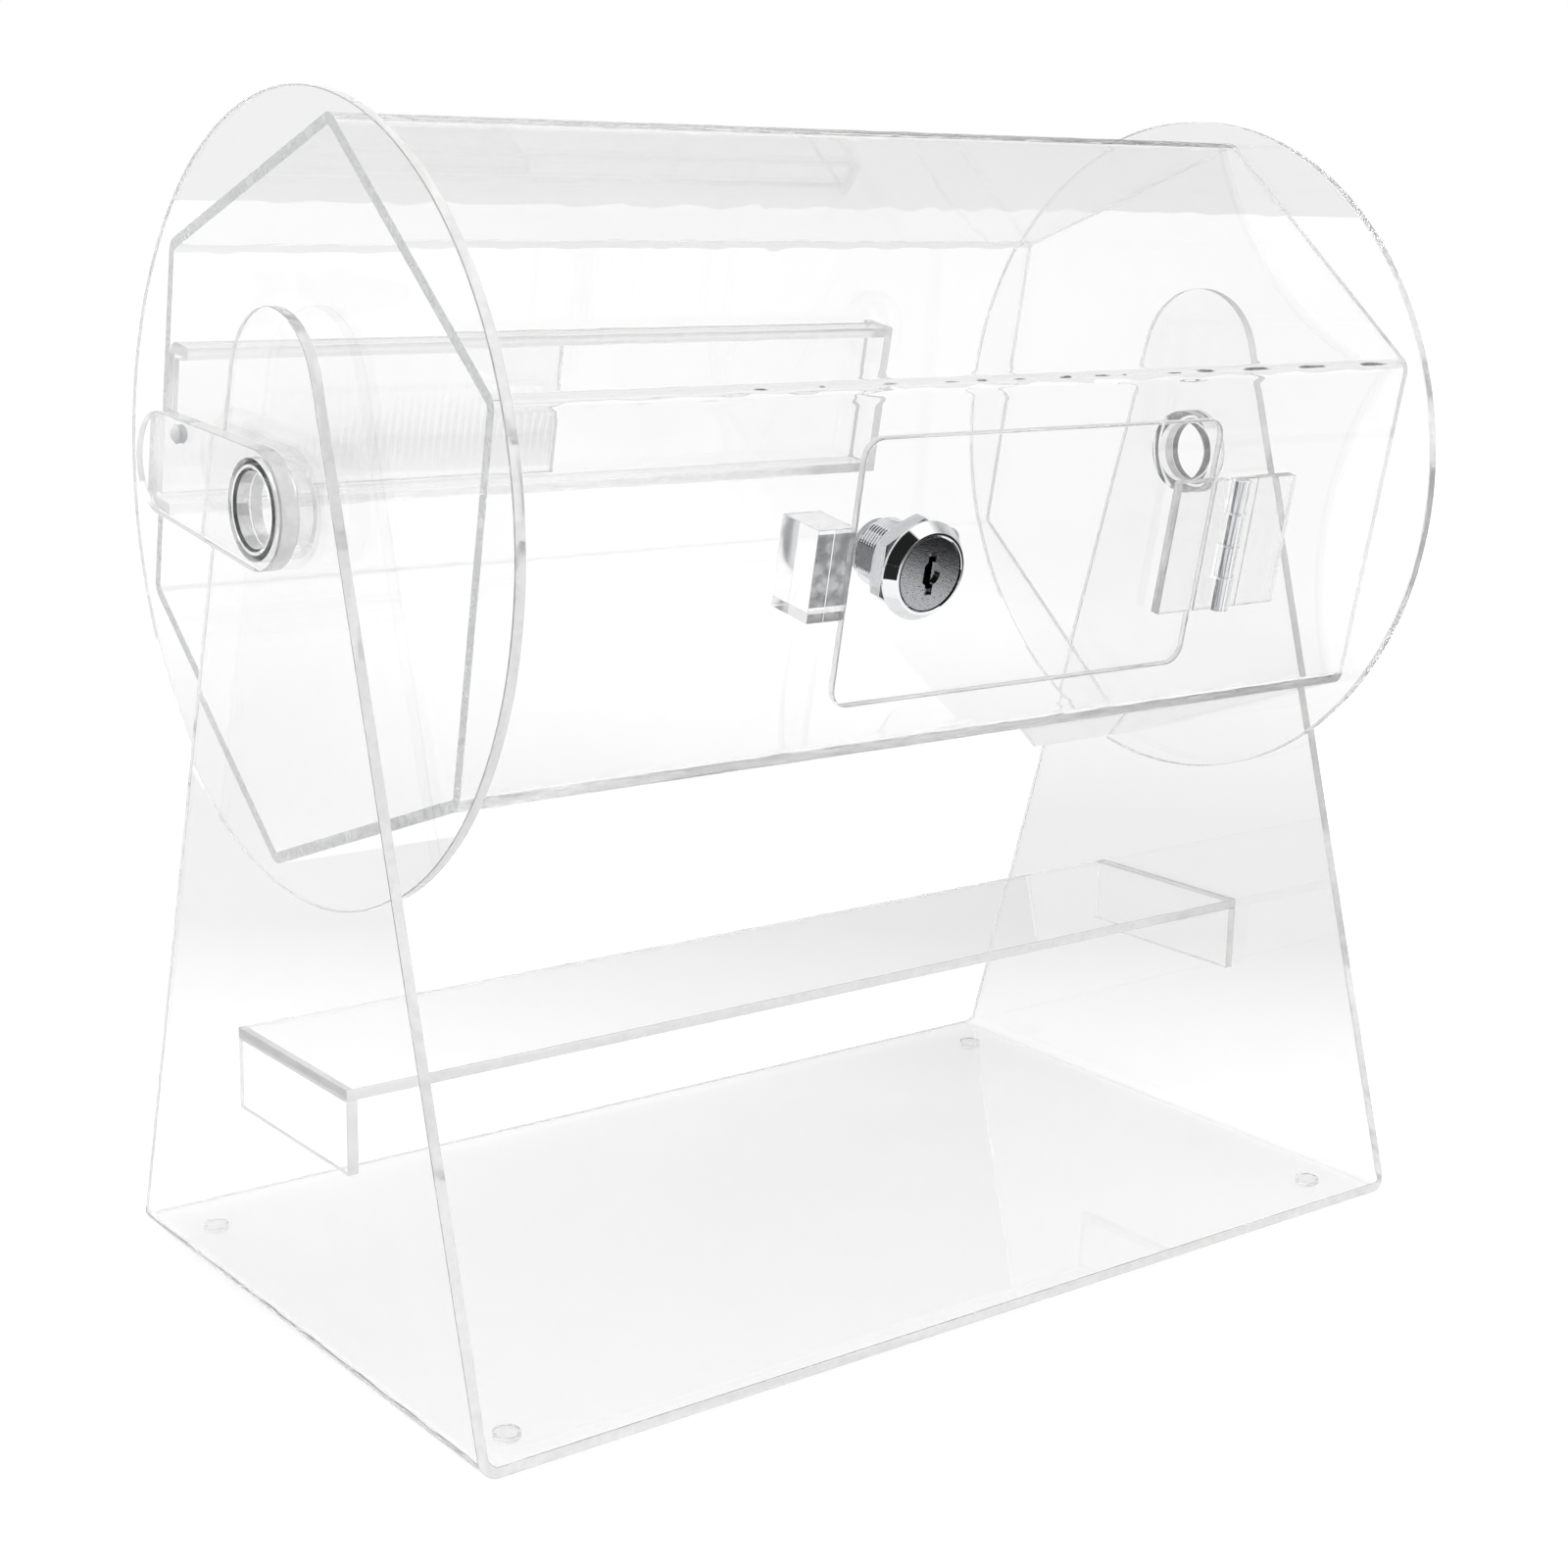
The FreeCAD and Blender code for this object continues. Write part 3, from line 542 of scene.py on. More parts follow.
# Injection-moulded clear styrene: bends light a little more than acrylic, so its leaves show up.
HINGE = ClearPlastic("moulded_clear_styrene", ior=1.58, haze_high=0.03, haze_size=6.0)
# The same moulding where it left the mould's sides: slightly frosted by their draft.
GATE = ClearPlastic(
    "moulded_clear_edge", ior=1.58, haze_low=0.08, haze_high=0.2, haze_size=5.0, roughness=0.02
)
# Cast soft polyurethane bumper: clear but milky, with a skin that is never quite smooth.
BUMPER = ClearPlastic(
    "soft_clear_polyurethane", haze_low=0.1, haze_high=0.2, haze_size=3.0, roughness=0.08
)
# Solvent cement run in by capillary: gone where it wetted the joint, pale where air stayed; the pale film is
# partly painted light, standing for light seen along the barrel's wall.
CEMENT_AND_PAINTED_LIGHT = Cement("solvent_cement_and_painted_light")
# Cast acrylic tube, faced on a lathe: the tool's fine rings scatter light, and its dark grey with darker
# blots on the end edges is painted shade.
TURNED_PAINTED_SHADE = ClearPlastic(
    "cast_acrylic_turned_painted_shade",
    haze_low=0.3,
    haze_high=0.5,
    haze_size=3.0,
    roughness=0.2,
    colour="#5A5B5E",
    painted_shade_blots="#2E2F31",
)
# Sawn acrylic, sanded fine and left unpolished: what lies behind it is seen softly.
SATIN = ClearPlastic("cast_acrylic_satin", haze_high=0.04, haze_size=6.0, roughness=0.08)
# Bright chrome over polished zinc: a mirror, nearly black and white in a white room.
CHROME = Metal("bright_chrome_plate", "#E9EAEC", 0.02, 0.06, 4.0)
# The thread's root, where plate is thin and oil stays: dark between the bright crests, partly oil and partly
# painted shade in the recess.
OIL_AND_PAINTED_SHADE = Metal("chromed_thread_root", "#606266", 0.2, 0.3, 1.0)
# Chromed hexagon nut, barrel-plated: a duller mirror with handling marks.
NUT = Metal("chromed_hexagon", "#D3D4D7", 0.04, 0.1, 3.0)
# Nickel plate over a brushed plug: dark grey, with fine scratches as wide as the brush's grit.
PLUG = Metal(
    "brushed_nickel", "#A9AAAD", 0.05, 0.2, 0.35, bump=0.02, lines="#3C3D40", lines_at=(0.6, 0.68)
)
# Zinc-flake coat on the dowel: a matt silver grey that mirrors nothing.
PIN = Metal("zinc_flake_coated_steel", "#F2F3F4", 0.55, 0.7, 1.0, metallic=0.1)
# Zinc rubbed off the cam in arcs: a dry grey smear with bare patches.
RUBBED = Metal(
    "zinc_rub_marks", "#DCDDDF", 0.3, 0.5, 3.0, lines="#808286", lines_at=(0.35, 0.65), metallic=0.5
)
# Drawn steel wire: long fine streaks along the pin, which leans with the drum.
STEEL = Metal(
    "drawn_steel",
    "#E4E5E8",
    0.12,
    0.26,
    0.45,
    grain=(1.0, 1.0, 60.0),
    bump=0.002,
    lean=10.3,
    lines="#8E9094",
    lines_at=(0.45, 0.6),
)
# Pressed steel with bright zinc plate: grey, with the faint grain of the strip.
PRESSED = Metal("zinc_plated_steel", "#A9ABB0", 0.22, 0.4, 1.5, bump=0.01)
# Brass strip, stamped and tumbled: warm and slightly dull.
BRASS = Metal("stamped_brass", "#C9A254", 0.2, 0.35, 0.8, bump=0.01)


# ---- pieces ----
@dataclass(frozen=True)
class Drum:
    """Where the drum's own frame lies: its tilt, and the middle of its axle."""

    tilt: float
    axle: tuple[float, float, float]

    @classmethod
    def from_joints(cls, joints: list[dict]) -> "Drum":
        """Reads the axle from the drum's joint and the tilt from the lock's.

        Args:
            joints: The frame's joints.

        Returns:
            The drum's own frame.
        """
        named = {joint["name"]: joint for joint in joints}
        out, up = named["lock_turn"]["axis"][1:]
        height = named["drum_spin"]["pos_m"][2] / MM
        return cls(math.atan2(up, out), (2.0, 0.0, height))

    def place(self) -> Matrix:
        """Turns by the tilt and moves to the axle."""
        return Matrix.Translation(self.axle) @ Matrix.Rotation(self.tilt, 4, "X")


def finish_piece(
    name: str,
    skin: Skin,
    place: Matrix,
    body: str,
    finishes: tuple[Finish, ...],
    replaced: tuple[str, ...] = (),
    bevel: float = 0.0,
) -> bpy.types.Object:
    """Makes a piece from its skin and sets it on its body.

    Args:
        name: Name of the piece.
        skin: Its surface.
        place: Where it goes.
        body: The body it moves with.
        finishes: Its materials, in the order of the skin's numbers.
        replaced: Solids that it stands for.
        bevel: Width of its broken edges.

    Returns:
        The piece.
    """
    thing = bpy.data.objects.new(name, skin.mesh(name, place))
    bpy.context.scene.collection.objects.link(thing)
    for finish in finishes:
        thing.data.materials.append(finish.material())
    if bevel:
        edges = thing.modifiers.new("broken_edges", "BEVEL")
        edges.width = bevel * MM
        edges.segments = 2
        edges.limit_method = "ANGLE"
        edges.angle_limit = math.radians(50)
        edges.harden_normals = True
    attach(thing, body)
    if replaced:
        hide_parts(*replaced)
    log.info("%s: %d faces on %s", name, len(thing.data.polygons), body)
    return thing


def block(low: tuple[float, float, float], high: tuple[float, float, float], cut: str = "") -> Skin:
    """A rectangular block, one flat grid of points for each of its six faces.

    Args:
        low: Lowest corner.
        high: Highest corner.
        cut: The axes whose two faces have the piece's second finish.

    Returns:
        Its skin.
    """
    skin = Skin()
    for axis in range(3):
        one, other = (a for a in range(3) if a != axis)
        for level in (low[axis], high[axis]):
            grid = np.empty((2, 2, 3))
            grid[..., axis] = level
            grid[..., one] = [[low[one]] * 2, [high[one]] * 2]
            grid[..., other] = [[low[other], high[other]]] * 2
            skin.patch(grid, int("xyz"[axis] in cut))
    return skin


def stepped_block(
    skin: Skin,
    across: tuple[float, float, float],
    out: tuple[float, float, float],
    up: tuple[float, float],
    finishes: tuple[int, ...],
) -> None:
    """Adds a block with a step in one side: eight points round, carried up, and its two ends.

    Args:
        skin: Where the faces go.
        across: Far side, step and near side of the block along X.
        out: The seat, the step's floor and the other side along Y.
        up: Lower and upper end along Z.
        finishes: The finish of each of the eight sides, from the seat round.
    """
    far, step, near = across
    seat, floor, other = out
    corners = [(far, seat), (step, seat), (step, floor), (near, floor)]
    ring = np.array([*corners, (near, other), (step, other), (far, other), (far, floor)])
    rows = [np.column_stack([ring, np.full(8, z)]) for z in up]
    for at, finish in enumerate(finishes):
        pair = [at, (at + 1) % 8]
        skin.between(rows[0][pair], rows[1][pair], finish)
    for row in rows:
        for quad in ([0, 1, 7, 2], [7, 2, 6, 5], [2, 3, 5, 4]):
            skin.patch(row[quad].reshape(2, 2, 3))


def bent_rows(
    part: Bend, along: Points, thick: float, ripples: tuple[Ripple, Ripple]
) -> tuple[Points, Points]:
    """Outer and inner surface of one bend: line + (height - depth) x normal, carried along X.

    Args:
        part: The bend's stations.
        along: Places along the bend.
        thick: Thickness of the sheet.
        ripples: Waves of the outer and the inner surface.

    Returns:
        Two grids of across by along.
    """
    sides = []
    for depth, ripple in zip((0.0, thick), ripples):
        height = ripple.heights(part.across, along, part.window) - depth
        across = part.points[:, None] + height[..., None] * part.normals[:, None]
        wide = np.broadcast_to(along[None, :, None], (*height.shape, 1))
        sides.append(np.concatenate([wide, across], axis=-1))
    return sides[0], sides[1]


@dataclass
class Barrel:
    """The hexagonal tube bent out of one sheet, with the door's opening."""

    length: float = 300.0
    apothem: float = HEX_FACE
    thick: float = 3.0
    outer_bend: float = 4.5
    heated: float = 3.8
    opening: tuple[float, float, float, float] = (-46.0, 78.5, -35.0, 35.0)
    opening_corner: float = 5.5
    joint_gap: float = 0.04
    ripple: float = 0.018
    columns: int = 121

    def bends(self) -> list[Bend]:
        """The six bends, at angles of -150 degrees and every 60 on; the first is below the door.

        Returns:
            The bends in order.
        """
        radius = self.apothem / math.cos(math.pi / 6)
        angles = np.radians(np.arange(-150, 210, 60))
        ring = radius * np.stack([np.cos(angles), np.sin(angles)], axis=-1)
        made = []
        for number in range(6):
            before, corner, after = ring[number - 1], ring[number], ring[(number + 1) % 6]
            made.append(bend(before, corner, after, self.outer_bend, self.heated))
        return made

    def skin(self) -> Skin:
        """The whole barrel: bends and flats, outside and inside, the two ends and the opening.

        Returns:
            Its skin, with the cut edges in the second finish.
        """
        half = self.length / 2 - self.joint_gap
        along = np.linspace(-half, half, self.columns)
        skin = Skin()
        strips = []
        for number, part in enumerate(self.bends()):
            ripples = (Ripple(self.ripple, number), Ripple(self.ripple, number + 50))
            strips.append(bent_rows(part, along, self.thick, ripples))
        left, right, low, high = self.opening
        hole = rounded_rectangle(left, right, low, high, self.opening_corner)
        walls = []
        for number, strip in enumerate(strips):
            following = strips[(number + 1) % 6]
            for side in (0, 1):
                skin.patch(strip[side])
                one, other = strip[side][-1], following[side][0]
                if one[0][1] < -self.apothem / 2 and other[0][1] < -self.apothem / 2:
                    edge = self.round_opening(skin, one, other, hole)
                    walls.append(edge)
                else:
                    skin.between(one, other)
            for end in (0, -1):
                skin.between(strip[0][:, end], strip[1][:, end], 1)
                outer = np.stack([strip[0][-1, end], following[0][0, end]])
                inner = np.stack([strip[1][-1, end], following[1][0, end]])
                skin.between(outer, inner, 1)
        skin.between(walls[0], walls[1], 1, close=True)
        return skin

    def round_opening(self, skin: Skin, one: Points, other: Points, hole: Points) -> Points:
        """Fills the flat between two rows round the opening: each row runs to half of its outline.

        Args:
            skin: Where the faces go.
            one: Edge row of the flat.
            other: The other edge row.
            hole: Outline of the opening, lower half first.

        Returns:
            The opening's edge on this side of the sheet.
        """
        lower, upper = (one, other) if one[0][2] < other[0][2] else (other, one)
        level = lower[0][1]
        edge = np.column_stack([hole[:, 0], np.full(len(hole), level), hole[:, 1]])
        steps = len(hole) // 2
        bottom = edge[: steps + 1]
        top = np.concatenate([edge[steps:], edge[:1]])[::-1]
        skin.between(lower, bottom)
        skin.between(upper, top)
        for end, corner in ((0, edge[0]), (-1, edge[steps])):
            skin.patch(np.stack([np.stack([lower[end], upper[end]]), np.stack([corner, corner])]))
        return edge


@dataclass
class Discs:
    """The two end discs."""

    radius: float = 100.0
    thick: float = 3.0
    inner: float = 150.0
    edge: float = 0.25

    def skin(self, side: Side) -> Skin:
        """A disc: a profile of face, broken edge, rim, broken edge and face carried round the axle.

        Args:
            side: The end of the drum.

        Returns:
            Its skin.
        """
        near, far = self.inner * side.value, (self.inner + self.thick) * side.value
        step = self.edge * side.value
        rim = self.radius
        profile = [(0, near), (rim - self.edge, near), (rim, near + step), (rim, far - step)]
        profile += [(rim - self.edge, far), (0, far)]
        grid = lathe(np.array(profile, float), 180)
        skin = Skin()
        skin.patch(grid[:2], 0, close=True)
        skin.patch(grid[1:5], 1, close=True)
        skin.patch(grid[4:], 0, close=True)
        return skin


@dataclass
class StandFrame:
    """Base and cheeks of the stand, bent out of one sheet."""

    half_length: float = 160.5
    half_depth: float = 95.0
    thick: float = 3.0
    outer_bend: float = 5.0
    heated: float = 5.0
    axle_height: float = 218.0
    top_centre: float = 243.5
    top_radius: float = 23.0
    hole_radius: float = 12.6
    ripple: float = 0.02
    columns: int = 77

    def half_width(self, height: Points) -> Points:
        """Half the cheek's width at a height: a straight line that touches the round top."""
        return self.half_depth - height * math.tan(self.lean())

    def lean(self) -> float:
        """How far the cheek's edges lean inwards, from upright."""
        reach = math.hypot(self.half_depth, self.top_centre)
        return math.atan2(self.half_depth, self.top_centre) - math.asin(self.top_radius / reach)

    def skin(self) -> Skin:
        """The bent sheet: base, two rippled bends, two cheeks and all their edges.

        Returns:
            Its skin, with the cut edges in the second finish.
        """
        corners = np.array([[-1, 1], [-1, 0], [1, 0], [1, 1]]) * [self.half_length, self.top_centre]
        share = np.linspace(-1, 1, self.columns)
        skin = Skin()
        strips = []
        for number in (1, 2):
            part = bend(*corners[number - 1 : number + 2], self.outer_bend, self.heated)
            wide = self.half_width(part.points[:, 1])[:, None] * share
            sides = []
            for depth, seed in ((0.0, 90 + number), (self.thick, 95 + number)):
                waves = Ripple(self.ripple, seed)
                ripple = waves.heights(part.across, share * self.half_depth, part.window)
                place = part.points[:, None] + (ripple - depth)[..., None] * part.normals[:, None]
                sides.append(np.stack([place[..., 0], wide, place[..., 1]], axis=-1))
            strips.append(sides)
        for side in (0, 1):
            for strip in strips:
                skin.patch(strip[side])
            skin.between(strips[0][side][-1], strips[1][side][0])
        for end in (0, -1):
            for strip in strips:
                skin.between(strip[0][:, end], strip[1][:, end], 1)
            outer = np.stack([strips[0][0][-1, end], strips[1][0][0, end]])
            inner = np.stack([strips[0][1][-1, end], strips[1][1][0, end]])
            skin.between(outer, inner, 1)
        for rows in ([strips[0][0][0], strips[0][1][0]], [strips[1][0][-1], strips[1][1][-1]]):
            self.cheek(skin, rows)
        return skin

    def cheek(self, skin: Skin, rows: list[Points]) -> None:
        """A cheek above its bend: both faces run from the outline to the axle hole.

        Args:
            skin: Where the faces go.
            rows: The cheek's lowest row on its outer and its inner face.
        """
        lean = math.degrees(self.lean())
        foot = rows[0][:, 1:]
        top = arc((0.0, self.top_centre), self.top_radius, lean, 180 - lean, 48)
        right = line(tuple(foot[-1]), tuple(top[0]), 64)
        left = line(tuple(top[-1]), tuple(foot[0]), 64)
        outline = np.concatenate([foot[:-1], right[:-1], top[:-1], left[:-1]])
        hole = hole_round(outline, (0.0, self.axle_height), self.hole_radius)
        edges, holes = [], []
        for row in rows:
            x = row[0, 0]
            edges.append(np.column_stack([np.full(len(outline), x), outline]))
            holes.append(np.column_stack([np.full(len(hole), x), hole]))
            skin.between(edges[-1], holes[-1], close=True)
        skin.between(holes[0], holes[1], 1, close=True)
        free = np.arange(len(foot) - 1, len(outline) + 1) % len(outline)
        skin.between(edges[0][free], edges[1][free], 1)


@dataclass
class Brace:
    """The strip across the stand and its two legs, glued to the cheeks."""

    reach: float = 157.5
    half_width: float = 30.0
    top: float = 77.5
    thick: float = 3.0
    leg: float = 19.5

    def strip(self) -> Skin:
        """The strip; its ends sink into the glue."""
        reach = self.reach + WET
        low = (-reach, -self.half_width, self.top - self.thick)
        return block(low, (reach, self.half_width, self.top), "xy")

    def leg_skin(self, side: Side) -> Skin:
        """A leg under one end of the strip; its top and its outer face sink into the glue.

        Args:
            side: The end of the strip.

        Returns:
            Its skin.
        """
        outer = (self.reach + WET) * side.value
        inner = (self.reach - self.thick) * side.value
        under = self.top - self.thick
        low = (min(outer, inner), -self.half_width, under - self.leg)
        return block(low, (max(outer, inner), self.half_width, under + WET), "yz")


@dataclass
class Feet:
    """Four clear bumpers under the corners of the base."""

    radius: float = 3.5
    height: float = 2.2
    round_edge: float = 1.1
    reach: tuple[float, float] = (143.5, 78.5)

    def skin(self) -> Skin:
        """A flat dome about the X axis: floor face, quarter round, wall and glued top.

        Returns:
            Its skin.
        """
        edge = arc((self.radius - self.round_edge, self.round_edge), self.round_edge, -90, 0, 8)
        top = self.height + WET
        rows = np.concatenate([[[0.0, 0.0]], edge, [[self.radius, top], [0.0, top]]])
        skin = Skin()
        skin.patch(lathe(rows, 48), close=True)
        return skin


@dataclass
class MixingTray:
    """The channel inside the back face, with its end and the plate glued into it."""

    start: float = -150.0
    length: float = 233.0
    back: float = HEX_FACE - 3.0
    half_width: float = 22.5
    depth: float = 11.0
    thick: float = 3.0
    outer_bend: float = 4.0
    heated: float = 2.0
    plate_length: float = 117.0
    plate_half: float = 18.2
    joint_gap: float = 0.04
    ripple: float = 0.012
    columns: int = 95

    def channel(self) -> Skin:
        """The bent channel: two flanges and a web, its outer side against the barrel.

        Returns:
            Its skin, with the cut edges in the second finish.
        """
        tip, back, half = self.back - self.depth, self.back + WET, self.half_width
        corners = np.array([[tip, -half], [back, -half], [back, half], [tip, half]])
        along = np.linspace(self.start + self.joint_gap, self.start + self.length, self.columns)
        skin = Skin()
        strips = []
        for number in (1, 2):
            part = bend(*corners[number - 1 : number + 2], self.outer_bend, self.heated)
            ripples = (Ripple(self.ripple, 70 + number), Ripple(self.ripple, 75 + number))
            strips.append(bent_rows(part, along, self.thick, ripples))
        tips = []
        for corner, inward in ((corners[0], 1.0), (corners[3], -1.0)):
            inner = corner + np.array([0.0, self.thick * inward])
            still = 0 * along
            tips.append([np.column_stack([along, still + y, still + z]) for y, z in (corner, inner)])
        for side in (0, 1):
            skin.between(tips[0][side], strips[0][side][0])
            skin.patch(strips[0][side])
            skin.between(strips[0][side][-1], strips[1][side][0])
            skin.patch(strips[1][side])
            skin.between(strips[1][side][-1], tips[1][side])
        for edge in tips:
            skin.between(edge[0], edge[1], 1)
        for end in (0, -1):
            lines = []
            for side in (0, 1):
                parts = [tips[0][side][end][None], strips[0][side][:, end], strips[1][side][:, end]]
                lines.append(np.concatenate([*parts, tips[1][side][end][None]]))
            skin.between(lines[0], lines[1], 1)
        return skin

    def end(self) -> Skin:
        """The block that closes the channel."""
        x = self.start + self.length
        low = (x - WET, self.back - self.depth, -self.half_width)
        return block(low, (x + self.thick, self.back + WET, self.half_width), "yz")

    def plate(self) -> Skin:
        """The plate glued onto the web, from the crank-side disc to half way."""
        low = (self.start + self.joint_gap, self.back - 2 * self.thick, -self.plate_half)
        high = (self.start + self.plate_length, self.back - self.thick + WET, self.plate_half)
        return block(low, high, "xz")


@dataclass
class Axle:
    """The two axle tubes, the crank arm and the dowel through it."""

    radius: float = 12.5
    wall: float = 3.0
    disc: float = 153.0
    crank_end: float = 166.0
    free_end: float = 162.0
    arm_thick: float = 5.0
    hub: float = 15.0
    tip: float = 13.3
    reach: float = 54.0
    angle: float = -3.6
    dowel_at: tuple[float, float] = (43.0, 9.8)
    dowel_radius: float = 2.3
    dowel_length: float = 5.4
    dowel_crown: float = 1.5
    dowel_edge: float = 0.4
    edge: float = 1.5
    inner_edge: float = 0.7
    split: float = 27.0
    play: float = 0.02

    def tube(self, side: Side) -> Skin:
        """A tube: its closed section, with broken edges, carried round the axle.

        Args:
            side: The end of the drum.

        Returns:
            Its skin, with the far end's edges in the second finish, whose dark grey is painted shade.
        """
        far = self.crank_end if side is Side.LEFT else self.free_end
        near, outer, inner = self.disc - WET, self.radius, self.radius - self.wall
        edge, bore_edge = self.edge, self.inner_edge
        wall = [(inner, near), (outer, near), (outer, far - edge), (outer - edge, far)]
        section = np.array([*wall, (inner + bore_edge, far), (inner, far - bore_edge), (inner, near)])
        section[:, 1] *= side.value
        grid = lathe(section, 96)
        skin = Skin()
        for row in range(len(section) - 1):
            # Rows 2 and 4, the far end's broken edges, take the dark finish that is painted shade.
            skin.patch(grid[row : row + 2], int(row in (2, 4)), close=True)
        return skin

    def turned(self, points: Points) -> Points:
        """Turns points of the arm's own plane to the arm's angle: a plane rotation.

        Args:
            points: Places along and across the arm.

        Returns:
            The same points as y and z.
        """
        cosine, sine = math.cos(math.radians(self.angle)), math.sin(math.radians(self.angle))
        along, across = points[:, 0], points[:, 1]
        return np.stack([along * cosine - across * sine, along * sine + across * cosine], axis=-1)

    def arm(self) -> Skin:
        """The arm: two round ends joined by straight edges that touch both, split between its holes.

        Each half's faces run from the half's outline to its own hole.

        Returns:
            Its skin, with the cut edges in the second finish.
        """
        lean = math.acos((self.hub - self.tip) / self.reach)
        side = np.array([math.cos(lean), math.sin(lean)])
        hub_end, tip_end = self.hub * side, np.array([self.reach, 0.0]) + self.tip * side
        share = (self.split - hub_end[0]) / (tip_end[0] - hub_end[0])
        split = hub_end + share * (tip_end - hub_end)
        down = np.array([1.0, -1.0])
        degrees = math.degrees(lean)
        middle = line(tuple(split * down), tuple(split), 24)
        hub_half = np.concatenate([
            line(tuple(split), tuple(hub_end), 16)[:-1],
            arc((0.0, 0.0), self.hub, degrees, 360 - degrees, 72)[:-1],
            line(tuple(hub_end * down), tuple(split * down), 16)[:-1],
            middle[:-1],
        ])
        tip_half = np.concatenate([
            line(tuple(split * down), tuple(tip_end * down), 16)[:-1],
            arc((self.reach, 0.0), self.tip, -degrees, degrees, 48)[:-1],
            line(tuple(tip_end), tuple(split), 16)[:-1],
            middle[::-1][:-1],
        ])
        skin = Skin()
        for outline, centre, radius in (
            (hub_half, (0.0, 0.0), self.radius + self.play),
            (tip_half, self.dowel_at, self.dowel_radius + self.play),
        ):
            hole = hole_round(outline, centre, radius)
            free = slice(0, len(outline) - 24 + 1)
            faces = []
            for x in (-self.crank_end, self.arm_thick - self.crank_end):
                flat = [np.column_stack([np.full(len(p), x), self.turned(p)]) for p in (outline, hole)]
                skin.between(flat[0], flat[1], close=True)
                faces.append(flat)
            skin.between(faces[0][1], faces[1][1], 1, close=True)
            outer = [face[0][free] for face in faces]
            skin.between(outer[0], outer[1], 1)
        return skin

    def dowel(self) -> Skin:
        """The dowel: a short rod with a domed head, a cap of a sphere, about the X axis.

        The sphere's radius is (crown squared + radius squared) / (2 x crown).

        Returns:
            Its skin.
        """
        near, far, edge = -self.crank_end, self.dowel_length - self.crank_end, self.dowel_edge
        radius, crown = self.dowel_radius + 2 * WET, self.dowel_crown
        curve = (crown**2 + radius**2) / (2 * crown)
        opening = math.degrees(math.asin(radius / curve))
        front = arc((0.0, near - crown + curve), curve, -90, opening - 90, 14)
        back = arc((radius - edge, far - edge), edge, 0, 90, 6)
        rows = np.concatenate([front, back, [[0.0, far]]])
        grid = lathe(rows, 48)
        grid[..., 1:] += self.turned(np.array([self.dowel_at]))[0]
        skin = Skin()
        skin.patch(grid, close=True)
        return skin


@dataclass
class Keeper:
    """The block beside the door that the cam turns behind."""

    left: float = -56.0
    right: float = -44.0
    face: float = 3.0 - HEX_FACE
    depth: float = 14.8
    half_height: float = 12.0
    rubbed: tuple[float, float] = (-11.2, 7.9)
    film: tuple[float, float] = (0.04, 0.06)

    def skin(self) -> Skin:
        """Four sides and two ends, polished but for the back; the seat sinks into the cement.

        Returns:
            Its skin, with the back in the second finish.
        """
        front, back = self.face - WET, self.face + self.depth
        ring = [(self.left, front), (self.right, front), (self.right, back), (self.left, back)]
        rows = [np.column_stack([ring, np.full(4, z)]) for z in (-self.half_height, self.half_height)]
        skin = Skin()
        for at, finish in enumerate((0, 0, 1, 0)):
            pair = [at, (at + 1) % 4]
            skin.between(rows[0][pair], rows[1][pair], finish)
        for row in rows:
            skin.patch(row[[0, 1, 3, 2]].reshape(2, 2, 3))
        return skin

    def rub(self) -> Skin:
        """The dry grey film that the cam has rubbed onto the block's back, a hair behind it.

        Returns:
            Its skin.
        """
        back, (low, high) = self.face + self.depth, self.rubbed
        near, far = (back + behind for behind in self.film)
        return block((self.left + 0.3, near, low), (self.right - 0.15, far, high))


@dataclass
class Hinge:
    """The moulded hinge, about its pin along Z; the barrel's face is at y = seat."""

    pin_x: float = 85.7
    seat: float = 3.3
    thick: float = 3.0
    relief: float = 0.4
    step: float = 8.7
    width: float = 22.5
    height: float = 37.0
    knuckle: float = 3.0
    room: float = 0.5
    bore: float = 1.55
    door_face: float = -HEX_FACE

    def place(self, drum: Drum) -> Matrix:
        """From the pin's axis to its place on the barrel."""
        return drum.place() @ Matrix.Translation((self.pin_x, self.door_face - self.seat, 0.0))

    def leaf(self, side: Side) -> Skin:
        """A leaf: a stepped plate and two knuckles that run into it.

        Each knuckle's ends run from its outline, a circle with a neck, to the pin's bore.

        Args:
            side: The side of the pin it lies on.

        Returns:
            Its skin, with the mould's sides in the second finish.
        """
        sign, half = side.value, self.height / 2
        top, under = self.seat - self.thick, self.seat - self.relief
        edge = self.knuckle + self.room
        across = (self.width * sign, self.step * sign, edge * sign)
        skin = Skin()
        seat = self.seat + WET
        stepped_block(skin, across, (seat, under, top), (-half, half), (0, 0, 0, 0, 0, 0, 1, 1))
        above = math.degrees(math.asin(top / self.knuckle))
        below = math.degrees(math.asin(under / self.knuckle))
        neck = edge + WET
        outline = np.concatenate([
            arc((0.0, 0.0), self.knuckle, below, 360 + above, 60),
            line((neck, top), (neck, under), 6),
        ])
        outline[:, 0] *= sign
        hole = hole_round(outline, (0.0, 0.0), self.bore)
        segment = self.height / 4
        for number in (1, 3) if side is Side.RIGHT else (0, 2):
            low = number * segment - half + (self.room / 2 if number else 0.0)
            high = (number + 1) * segment - half - (self.room / 2 if number < 3 else 0.0)
            rings = []
            for z in (low, high):
                rings.append([np.column_stack([p, np.full(len(p), z)]) for p in (outline, hole)])
                skin.between(rings[-1][0], rings[-1][1], close=True)
            for part in (0, 1):
                skin.between(rings[0][part], rings[1][part], close=True)
        return skin


